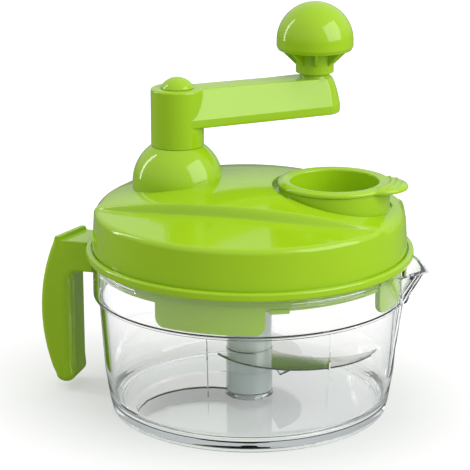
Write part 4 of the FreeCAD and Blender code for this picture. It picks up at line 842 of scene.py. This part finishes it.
def lid_height(x, y):
    """Height of the lid's top before its shoulder: the dome over the ridge, and the hollows beside it."""
    radius = np.hypot(x, y)
    dome = DOME_TOP - DOME_CURVE + np.sqrt(DOME_CURVE ** 2 - radius ** 2)
    hollow = CREASE_HEIGHT + (CREASE_RADIUS - radius) * HOLLOW_SLOPE
    reach = np.maximum(np.hypot(x, y - RIDGE_CENTRE), np.hypot(x, y + RIDGE_CENTRE)) - RIDGE_CURVE
    wall = RIDGE_LEVEL - reach / RIDGE_DRAFT
    return soft_max(soft_min(dome, wall, 4.5), hollow, 1.6)


def lid_surface(x, y):
    """The same with the recess round the feed collar."""
    height = lid_height(x, y)
    distance = np.hypot(x - FEED_X, y)
    pocket = np.maximum(height - POCKET_FLOOR, 0) * smoothstep((0.3 - distance + POCKET_RADIUS) / 0.5)
    groove = COLLAR_GROOVE_DEPTH * smoothstep((0.25 - distance + COLLAR_GROOVE) / 0.5)
    return height - np.maximum(pocket, groove)


def shoulder_size(angle):
    """Round between the lid's wall and its top: large at the ends of the ridge, small at the hollows."""
    off_axis = abs((math.degrees(angle) + 90) % 180 - 90)
    return EDGE_ROUND + (SHOULDER_ROUND - EDGE_ROUND) * float(smoothstep((21.5 - off_axis) / 7.0))


def wall_radius(height):
    return SHELL_RADIUS - SHELL_TAPER * (height - GROOVE_FLOOR) / (DOME_EDGE - GROOVE_FLOOR)


def shoulder(angle):
    """Points and outward normals from the foot of the lid's wall over its shoulder, at one angle."""
    size = shoulder_size(angle)
    lean = SHELL_TAPER / (DOME_EDGE - GROOVE_FLOOR)
    cos = math.cos(angle)
    sin = math.sin(angle)

    def centre_for(radius):
        height = float(lid_height(radius * cos, radius * sin))
        slope = (float(lid_height((radius + 0.05) * cos, (radius + 0.05) * sin)) - height) / 0.05
        length = math.hypot(1, slope)
        return radius + slope / length * size, height - size / length, slope

    low = 60.0
    high = 90.0
    for _ in range(HALVINGS):
        middle = (low + high) / 2
        centre_radius, centre_height, slope = centre_for(middle)
        gap = wall_radius(centre_height) - size * math.hypot(1, lean) - centre_radius
        if gap > 0:
            low = middle
        else:
            high = middle
    rows = []
    tilt = math.atan(lean)
    wall_top = centre_height + size * math.sin(tilt)
    for share in (0.0, 0.02, 0.25, 0.5, 0.75, 0.93):
        height = GROOVE_FLOOR + (wall_top - GROOVE_FLOOR) * share
        rows.append((wall_radius(height), height, tilt))
    for phi in np.linspace(tilt, math.atan2(1, -slope), 13):
        rows.append((*polar(size, phi, (centre_radius, centre_height)), phi))
    return rows


def lid_points(ring):
    """Places for the lid's top surface: its edge, lines along the ridge, and rings at the recess."""
    edge = [Vector(polar(r, a)) for a, r in ring]
    angles, radii = np.array(ring).T

    def inside(x, y, margin):
        angle = math.atan2(y, x)
        return math.hypot(x, y) < float(np.interp(angle, angles, radii, period=2 * math.pi)) - margin

    lines = []
    for side in (-1, 1):
        for offset in RIDGE_LINES:
            size = RIDGE_CURVE + offset
            for along in np.arange(-90, 90, 2.0):
                y, x = polar(size, along / size, (-RIDGE_CENTRE, 0))
                if inside(x, side * y, 0.8):
                    lines.append((x, side * y))
    for size in RECESS_RINGS:
        for turn in np.radians(np.arange(0, 360, 2.5)):
            x, y = polar(size, turn, (FEED_X, 0))
            if inside(x, y, 0.8) and (size < 32.2 or math.hypot(x, y) < 46):
                lines.append((x, y))
    held = np.array(lines)
    fill = []
    for row, y in enumerate(np.arange(-84, 84, 2.6)):
        for x in np.arange(-84, 84, 3.0):
            x = x + (1.5 if row % 2 else 0)
            if inside(x, y, 1.6) and np.min(np.hypot(held[:, 0] - x, held[:, 1] - y)) > 1.5:
                fill.append((x, y))
    return edge, [Vector(p) for p in lines + fill]


def make_lid_shell():
    angles = np.radians(np.arange(-180, 180, 1.25))
    columns = [shoulder(a) for a in angles]
    rows = len(columns[0])
    points = []
    normals = []
    for row in range(rows):
        for angle, column in zip(angles, columns):
            radius, height, phi = column[row]
            points.append((*polar(radius, angle), height))
            normals.append((*polar(math.cos(phi), angle), math.sin(phi)))
    count = len(angles)
    faces = strips(rows, count)
    ring = [(a, column[-1][0]) for a, column in zip(angles, columns)]
    edge, fill = lid_points(ring)
    edges = [(i, (i + 1) % count) for i in range(count)]
    found, _, triangles, _, _, _ = geometry.delaunay_2d_cdt(edge + fill, edges, [], 1, 1e-5)
    base = (rows - 1) * count
    x = np.array([p.x for p in found])
    y = np.array([p.y for p in found])
    z = lid_surface(x, y)
    step = 0.01
    slope_x = (lid_surface(x + step, y) - lid_surface(x - step, y)) / (2 * step)
    slope_y = (lid_surface(x, y + step) - lid_surface(x, y - step)) / (2 * step)
    length = np.sqrt(slope_x ** 2 + slope_y ** 2 + 1)
    points += list(zip(x, y, z))[count:]
    normals += list(zip(-slope_x / length, -slope_y / length, 1 / length))[count:]
    for triangle in triangles:
        middle_x = sum(found[i].x for i in triangle) / 3
        middle_y = sum(found[i].y for i in triangle) / 3
        at_feed = math.hypot(middle_x - FEED_X, middle_y) < FEED_CUTOUT
        if at_feed or math.hypot(middle_x - CRANK_X, middle_y) < BELL_CUTOUT:
            continue
        faces.append(tuple(base + i for i in triangle))
    shell = thick_skin("lid_shell_skin", np.array(points), np.array(normals), faces, SHELL_WALL)
    put(shell, "lid", GREEN, "lid_shell")

    bell = arc((0, BELL_CENTRE), BELL_RADIUS, 0, 54.5, 24)
    flat_radius = bell[-1][0]
    outline = [(BELL_RADIUS, BELL_FOOT)] + bell[:-1]
    outline += rounded([bell[-2], (flat_radius, BELL_TOP, 0.7), (BUSH_RADIUS, BELL_TOP)], closed=False)[1:]
    outline += [(BUSH_RADIUS, BELL_TOP - 6), (flat_radius - 2, BELL_TOP - 3)]
    outline += [(r - SHELL_WALL, z) for r, z in reversed(bell[:-4])]
    outline += [(BELL_RADIUS - SHELL_WALL, BELL_FOOT)]
    put(lathe("lid_bell", outline, (CRANK_X, 0), 144, sharp=50), "lid", GREEN)
    collar = rounded([(FEED_RADIUS, DECK_TOP), (COLLAR_RADIUS, DECK_TOP), (COLLAR_RADIUS, COLLAR_TOP, 0.5),
                      (FEED_RADIUS, COLLAR_TOP, 0.5)])
    put(lathe("lid_collar", collar, (FEED_X, 0), 144), "lid", GREEN)


def thick_skin(name, points, normals, faces, thickness):
    """A closed body from a skin and its normals, which also shade it."""
    count = len(points)
    inner = points - normals * thickness
    pairs = [pair for face in faces for pair in zip(face, face[1:] + face[:1])]
    uses = Counter(frozenset(pair) for pair in pairs)
    rims = [pair for pair in pairs if uses[frozenset(pair)] == 1]
    every = []
    for face in faces:
        normal = np.cross(points[face[1]] - points[face[0]], points[face[2]] - points[face[0]])
        outward = float(np.dot(normal, normals[face[0]])) >= 0
        every.append(face if outward else tuple(reversed(face)))
    every += [tuple(i + count for i in reversed(face)) for face in every]
    skins = len(every)
    every += [(second, first, first + count, second + count) for first, second in rims]
    mesh = bpy.data.meshes.new(name)
    mesh.from_pydata([Vector(p) * MM for p in np.vstack([points, inner])], [], every)
    mesh.update()
    mesh.shade_smooth()
    both = np.vstack([normals, -normals])
    mesh.normals_split_custom_set([tuple(polygon.normal if polygon.index >= skins else both[index])
                                   for polygon in mesh.polygons for index in polygon.vertices])
    return link_object(name, mesh)


# Feed cup

def cup_reach(angle):
    """Outline of the cup's flange with its grip tab towards +X."""
    tab_centre = CUP_TAB_REACH - CUP_TAB_ROUND
    reach = CUP_FLANGE
    side = abs(tab_centre * math.sin(angle))
    if math.cos(angle) > 0 and side < CUP_TAB_ROUND:
        tab = tab_centre * math.cos(angle) + math.sqrt(CUP_TAB_ROUND ** 2 - side ** 2)
        reach = float(soft_max(np.array(reach), np.array(tab), 1.5))
    return reach


def make_feed_cup():
    angles = [2 * math.pi * column / CUP_COLUMNS for column in range(CUP_COLUMNS)]
    outer = [(COLLAR_TOP, -0.6), (COLLAR_TOP + 0.15, -0.15), (COLLAR_TOP + 0.5, 0.0),
             (CUP_TOP - 1.5, 0.0), (CUP_TOP - 1.0, -0.08), (CUP_TOP - 0.55, -0.35),
             (CUP_TOP - 0.2, -0.85), (CUP_TOP, -CUP_EDGE)]
    wall_out = rounded([(CUP_OUTER + 0.4, COLLAR_TOP, 0), (CUP_OUTER, COLLAR_TOP - 0.3, 0),
                        (CUP_FOOT, CUP_BOTTOM, 1.5), (0, CUP_BOTTOM)], closed=False)
    inner_lip = rounded([(CUP_OUTER, CUP_TOP), (CUP_OUTER - CUP_WALL, CUP_TOP, 1.1),
                         (CUP_FOOT - CUP_WALL, CUP_BOTTOM + CUP_WALL, 3.0), (0, CUP_BOTTOM + CUP_WALL)],
                        closed=False)
    rows = [[corner] * CUP_COLUMNS for corner in reversed(wall_out)]
    rows += [[(cup_reach(a) + offset, height) for a in angles] for height, offset in outer]
    for share in np.linspace(0.92, 0.08, 22):
        row = []
        for a in angles:
            radius = CUP_OUTER + (cup_reach(a) - CUP_EDGE - CUP_OUTER) * share
            row.append((radius, CUP_TOP + CUP_CROWN * math.sin(math.pi * share) + grip_height(radius, a)))
        rows.append(row)
    rows += [[corner] * CUP_COLUMNS for corner in inner_lip]
    points = [(*polar(radius, a, (FEED_X, 0)), height)
              for row in rows for (radius, height), a in zip(row, angles)]
    cup = solid("green_cup", points, strips(len(rows), CUP_COLUMNS), sharp=50)
    put(cup, "cup", GREEN, "feed_cup")


def grip_height(radius, angle):
    """Arc ridges on the cup's tab."""
    off_axis = abs(math.degrees(math.atan2(math.sin(angle), math.cos(angle))))
    height = 0.0
    for number, half_angle in enumerate(GRIP_HALF_ANGLES):
        place = CUP_TAB_REACH - (number + 0.9) * GRIP_PITCH
        across = float(smoothstep((0.75 - abs(radius - place)) / 0.5))
        along = float(smoothstep((half_angle - off_axis) / 2.5))
        height = max(height, GRIP_HEIGHT * across * along)
    return height


# Crank

def on_crank(points):
    return turned(points, CRANK_ANGLE, (CRANK_X, 0))


def arm_outline(share):
    """Plan of the arm, from inside the hub to its round end; the share runs from its foot to its top."""
    half = ARM_HALF_WIDTH + (ARM_HALF_TOP - ARM_HALF_WIDTH) * share
    reach = CRANK_REACH + ARM_FLARE * math.sqrt(max(1 - share * share, 0))
    end_half = half + NECK_SWELL * share
    side = []
    for x in np.linspace(0, reach, 25)[:-1]:
        swell = NECK_SWELL * share * float(smoothstep((x - reach + 26) / 18))
        side.append((x, half + swell + ROOT_SWELL * (1 - share) * (1 - x / reach)))
    end = math.degrees(math.atan2(1, 0.2))
    tip = arc((reach, 0), end_half * math.hypot(1, 0.2), -end, end, 28)
    return [(x, -y) for x, y in side] + tip + side[::-1]


def make_crank():
    levels = [(ARM_FOOT + 0.02, 0.0, 0.05), (ARM_FOOT + 0.1, 0.0, 0.0), (ARM_BAND, 0.0, 0.0)]
    for share in (0.02, 0.12, 0.24, 0.36, 0.48, 0.6, 0.72, 0.84, 0.93):
        levels.append((ARM_BAND + (ARM_TOP - ARM_BAND) * share, share, 0.0))
    for angle in np.radians(np.linspace(0, 90, 6)):
        levels.append((ARM_TOP - ARM_EDGE * (1 - math.sin(angle)), 0.97, ARM_EDGE * (1 - math.cos(angle))))
    rows = [on_crank([(p.x, p.y, height) for p in inset(arm_outline(share), amount)])
            for height, share, amount in levels]
    put(stacked("crank_arm_body", rows, sharp=30), "crank", GREEN, "crank_arm")

    levels = [(ARM_BOTTOM, 0.9), (ARM_BOTTOM + 0.3, 0.3), (ARM_BOTTOM + 0.9, 0), (ARM_FOOT - 0.1, 0.0),
              (ARM_FOOT - 0.02, 0.05)]
    plate = bar("crank_arm_plate", arm_outline(0), levels, on_crank, sharp=45)
    put(plate, "crank", GREEN, "crank_arm_cover")

    hub = rounded([(HUB_BORE, HUB_BOTTOM), (HUB_RADIUS, HUB_BOTTOM, 0.4), (HUB_RADIUS, HUB_TOP, 1.3),
                   (CAP_SEAT, HUB_TOP, 0.2), (CAP_SEAT, CAP_FLOOR), (HUB_BORE, CAP_FLOOR)], steps=8)
    put(lathe("crank_hub", hub, (CRANK_X, 0), 120), "crank", GREEN)

    curve = (CAP_RADIUS ** 2 + CAP_HEIGHT ** 2) / (2 * CAP_HEIGHT)
    start = math.degrees(math.asin((curve - CAP_HEIGHT) / curve))
    cap = [(0, HUB_TOP + 0.02), (CAP_RADIUS - 0.4, HUB_TOP + 0.02), (CAP_RADIUS, HUB_TOP + 0.3)]
    cap += arc((0, HUB_TOP + CAP_HEIGHT - curve), curve, start + 2.5, 90, 16)
    put(lathe("crank_dome_cap", cap, (CRANK_X, 0), 96, sharp=50), "crank", GREEN, "crank_cap")

    neck = [(0, ARM_TOP - 2), (NECK_RADIUS + NECK_FLARE, ARM_TOP - 1.0)]
    neck += [(NECK_RADIUS + NECK_FLARE * (1 - math.sin(a)), ARM_TOP - 1.0 + 2.4 * (1 - math.cos(a)))
             for a in np.radians(np.linspace(10, 90, 9))]
    neck += [(NECK_RADIUS, NECK_TOP - 0.3), (NECK_RADIUS - 0.3, NECK_TOP), (0, NECK_TOP)]
    x, y, _ = on_crank([(CRANK_REACH, 0, 0)])[0]
    put(lathe("crank_neck", neck, (x, y), 96, sharp=50), "crank", GREEN)
    return x, y


def make_knob(x, y):
    centre = KNOB_TOP - KNOB_RADIUS
    dome = rounded([(KNOB_RADIUS - KNOB_CHAMFER, KNOB_EDGE), (KNOB_RADIUS - 1.1, KNOB_EDGE, 0.3),
                    (KNOB_RADIUS, KNOB_EDGE + KNOB_CHAMFER, 0.5), (KNOB_RADIUS, centre)], closed=False)[:-1]
    dome += arc((0, centre), KNOB_RADIUS, 0, 90, 30)
    dome += arc((0, centre), KNOB_RADIUS - KNOB_WALL, 90, 0, 30)
    dome += [(KNOB_RADIUS - KNOB_WALL, KNOB_EDGE)]
    put(lathe("knob_shell", dome, (x, y), 160, sharp=40), "knob", GREEN, "knob_dome")

    inner = KNOB_RADIUS - KNOB_WALL - 0.35
    rim = KNOB_EDGE + KNOB_CHAMFER
    core = rounded([
        (KNOB_BORE, KNOB_BOTTOM, 0.2), (KNOB_TUBE, KNOB_BOTTOM, 0.5), (KNOB_TUBE, KNOB_PLATE, 0.8),
        (inner, KNOB_PLATE, 0.3), (inner, rim), (inner - 2, rim), (inner - 2, KNOB_EDGE),
        (KNOB_TUBE, KNOB_EDGE), (KNOB_TUBE, KNOB_TUBE_TOP), (KNOB_BORE, KNOB_TUBE_TOP)])
    put(lathe("knob_stem", core, (x, y), 120), "knob", GREEN, "knob_core")
    outline = [(KNOB_TUBE - 0.6, KNOB_PLATE - GUSSET_HEIGHT), (KNOB_TUBE + 0.3, KNOB_PLATE - GUSSET_HEIGHT),
               (inner - 0.4, KNOB_PLATE - 0.5), (inner - 0.4, KNOB_PLATE + 0.2),
               (KNOB_TUBE - 0.6, KNOB_PLATE + 0.2)]
    half = GUSSET_THICKNESS / 2
    for number in range(GUSSETS):
        angle = CRANK_ANGLE + FULL_TURN / GUSSETS * (number + 0.5)
        rows = [turned([(p.x, across, p.y) for p in inset(outline, amount)], angle, (x, y))
                for across, amount in ((-half, 0.25), (0.25 - half, 0), (half - 0.25, 0), (half, 0.25))]
        put(stacked("knob_gusset_%d" % number, rows), "knob", GREEN)


# Blades

def blade_outline():
    """Plan of a blade with its tip along +X, and how wide the ground edge is at each point."""
    edge = bowed(BLADE_HEEL, (BLADE_REACH, 0.0), BLADE_BOW, 40)
    back = bowed((BLADE_REACH, 0.0), BLADE_ROOT, -BLADE_BACK_BOW, 20)
    points = edge + back[1:] + BLADE_INNER
    grind = [GRIND_WIDTH * float(smoothstep(min(share / 0.2, (1 - share) / 0.35)))
             for share in np.linspace(0, 1, len(edge))]
    grind += [0.0] * (len(points) - len(edge))
    return points, grind


def make_blades():
    outline, grind = blade_outline()
    half = BLADE_THICKNESS / 2
    for level, node in enumerate(("blade_lower", "blade_middle", "blade_upper")):
        turn = BLADE_START + BLADE_STEP * (2 - level)
        middle = BLADE_LOW + BLADE_PITCH * level + half
        rows = []
        for height, share, margin in ((-half, 0.0, 0.05), (-half + 0.05, 0.0, 0.0), (0.42, 0.0, 0.0),
                                      (half - 0.02, 0.95, 0.0), (half, 1.0, 0.1)):
            moved = inset(outline, [g * share + margin for g in grind])
            rows.append(turned([(p.x, p.y, middle + height) for p in moved], turn))
        put(stacked("sickle_" + node, rows, sharp=25), "blades", BLADE, node)
        ring = rounded([(CORE_RADIUS, middle - half), (BLADE_RING, middle - half, 0.1),
                        (BLADE_RING, middle + half, 0.1), (CORE_RADIUS, middle + half)])
        put(lathe("ring_" + node, ring, columns=96), "blades", BLADE)


def make_blade_hub():
    bore = PIN_RADIUS + 0.05
    core = CORE_RADIUS - 0.02
    shaft = rounded([
        (bore, BOSS_TOP + 0.6), (SHAFT_RECESS, BOSS_TOP + 0.6, 0.2), (SHAFT_RECESS, UNIT_BOTTOM),
        (core, UNIT_BOTTOM), (core, SHAFT_BOTTOM, 0.1), (SHAFT_RADIUS, SHAFT_BOTTOM, 0.4),
        (SHAFT_RADIUS, SHAFT_TOP, 1.6), (HEX_SEAT, SHAFT_TOP, 0.3), (HEX_SEAT, SHAFT_TOP + 0.4),
        (0, SHAFT_TOP + 0.4), (0, SHAFT_BORE_TOP), (bore, SHAFT_BORE_TOP)])
    put(lathe("hub_shaft", shaft, columns=120), "blades", HUB, "blade_shaft")
    radius = SHAFT_HEX / math.sqrt(3)
    hexagon = rounded([(*corner, 0.5) for corner in arc((0, 0), radius, 0, 300, 5)], steps=3)
    drive = bar("hub_drive", hexagon, [(SHAFT_TOP + 0.41, 0.0), (SHAFT_END - 0.6, 0.0), (SHAFT_END, 0.6)])
    put(drive, "blades", HUB)
    inner = CORE_RADIUS + 0.02
    for level, node in enumerate(("lower_spacer", "upper_spacer")):
        bottom = BLADE_LOW + BLADE_THICKNESS / 2 + BLADE_PITCH * level
        top = bottom + BLADE_PITCH
        sleeve = rounded([(inner, bottom + 0.02), (SPACER_RADIUS, bottom + 0.02, 0.15),
                          (SPACER_RADIUS, top - 0.02, 0.15), (inner, top - 0.02)])
        put(lathe("hub_" + node, sleeve, columns=120), "blades", HUB, node)
    foot = rounded([(inner, UNIT_BOTTOM), (SPACER_RADIUS + 0.6, UNIT_BOTTOM, 0.6),
                    (SPACER_RADIUS + 0.1, BLADE_LOW - 0.02, 0.4), (inner, BLADE_LOW - 0.02)])
    put(lathe("hub_foot_ring", foot, columns=120), "blades", CLEAR, "hub_foot")


# CAD pieces that stay

def dress_cad_nodes():
    """Procedural materials for the CAD pieces that show as they are."""
    by_slot = {
        "steel": ["pivot_pin", "handle_screw", "lid_screws", "gear_pin", "crank_spindle", "arm_cover_screws",
                  "crank_screw", "knob_pin", "knob_washer", "pinion_clip", "thrust_washer"],
        "nylon": ["crank_gear", "pinion_bush", "spindle_bush"],
        "acetal": ["drive_pinion"],
    }
    for slot, names in by_slot.items():
        for name in names:
            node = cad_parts[name]
            node.data.materials.clear()
            node.data.materials.append(MATERIALS[slot])


# Floor, light and camera

def clear_sight(graph):
    """1 for what the camera sees directly or through clear plastic, otherwise 0."""
    path = graph.add("LightPath").outputs
    return graph.math("MAXIMUM", path["Is Camera Ray"], path["Is Transmission Ray"])


def make_floor():
    """White floor: its glow is for the camera and for light that came through the clear plastic. Near the
    object the glow is weaker, a painted contact shadow, and in reflections the floor is darker.
    """
    mesh = bpy.data.meshes.new("floor")
    reach = FLOOR_REACH
    mesh.from_pydata([(-reach, -reach, 0), (reach, -reach, 0), (reach, reach, 0), (-reach, reach, 0)], [],
                     [(0, 1, 2, 3)])
    floor = link_object("floor", mesh)
    floor.location.z = -FLOOR_GAP * MM
    graph = new_material("floor_white")
    graph.nodes.remove(graph.shader)
    path = graph.add("LightPath").outputs
    in_gloss = graph.math("SUBTRACT", path["Is Glossy Ray"], path["Is Transmission Ray"], clamp=True)
    colour = graph.mix(in_gloss, rgba(FLOOR_COLOUR), rgba(FLOOR_IN_GLOSS))
    diffuse = graph.add("BsdfDiffuse", {"Color": colour})
    away = graph.add("VectorMath", {0: graph.add("TexCoord").outputs["Object"]})
    away.operation = "LENGTH"
    distance = away.outputs["Value"]
    far = graph.between(distance, 0.50, 0.70, 0.2, 1.0)
    # Painted contact shadow: the glow falls to two thirds of its strength close to the object.
    painted_contact_shadow = graph.between(distance, 0.66, 1.0, 0.085, 0.19)
    strength = graph.math("MULTIPLY", graph.math("MULTIPLY", far, painted_contact_shadow), clear_sight(graph))
    glow = graph.add("Emission", {"Strength": strength})
    both = graph.add("AddShader", {0: diffuse.outputs["BSDF"], 1: glow.outputs["Emission"]})
    graph.feed(graph.nodes["Material Output"], {"Surface": both.outputs["Shader"]})
    floor.data.materials.append(graph.owner)


def make_world():
    """Plain studio light: soft from above for rough surfaces, and white behind the clear bowl."""
    world = bpy.data.worlds.new("studio")
    bpy.context.scene.world = world
    graph = Graph(world)
    world.cycles.sampling_method = "NONE"
    direction = graph.add("TexCoord").outputs["Generated"]
    height = graph.add("SeparateXYZ", {"Vector": direction}).outputs["Z"]
    rough = graph.ramp(height, (0.19, 0.19, 0.19), (1.12, 1.12, 1.12), 0.0, 0.9)
    glossy = graph.ramp(height, (0.45, 0.46, 0.46), (0.84, 0.85, 0.85), 0.05, 0.33)
    clear = graph.ramp(height, WHITE, (0.20, 0.22, 0.25), 0.30, 0.75)
    path = graph.add("LightPath").outputs
    lit = graph.mix(path["Is Glossy Ray"], rough, glossy)
    seen = graph.mix(clear_sight(graph), lit, clear)
    graph.feed(graph.nodes["Background"], {"Color": seen})


def add_softbox(name, place, size, power):
    """An area lamp that points at the object."""
    light = bpy.data.lights.new(name, "AREA")
    light.shape = "RECTANGLE"
    light.size, light.size_y = size
    light.energy = power
    lamp = link_object(name, light)
    lamp.location = place
    lamp.rotation_euler = (Vector(LAMP_TARGET) - Vector(place)).to_track_quat("-Z", "Y").to_euler()


def make_camera():
    camera = bpy.data.cameras.new("camera")
    camera.lens = 145.1
    camera.sensor_width = 36.0
    camera.clip_start = 0.05
    eye = link_object("camera", camera)
    eye.location = (0.2588, -0.9659, 0.3894)
    eye.rotation_euler = (math.radians(73.7), 0, math.radians(15.46))
    bpy.context.scene.camera = eye


make_bowl()
make_handle()
make_lid_base()
make_lid_shell()
make_feed_cup()
knob_x, knob_y = make_crank()
make_knob(knob_x, knob_y)
make_blades()
make_blade_hub()
dress_cad_nodes()
make_floor()
make_world()
add_softbox("window_right", (1.10, -0.25, 0.75), (1.1, 1.1), 13)
add_softbox("strip_left", (-0.95, 0.06, 0.5), (0.10, 0.9), 2.4)
make_camera()
bpy.context.scene.view_settings.view_transform = "Standard"
bpy.context.scene.cycles.max_bounces = 28
bpy.context.scene.cycles.transmission_bounces = 26
bpy.context.scene.cycles.transparent_max_bounces = 24
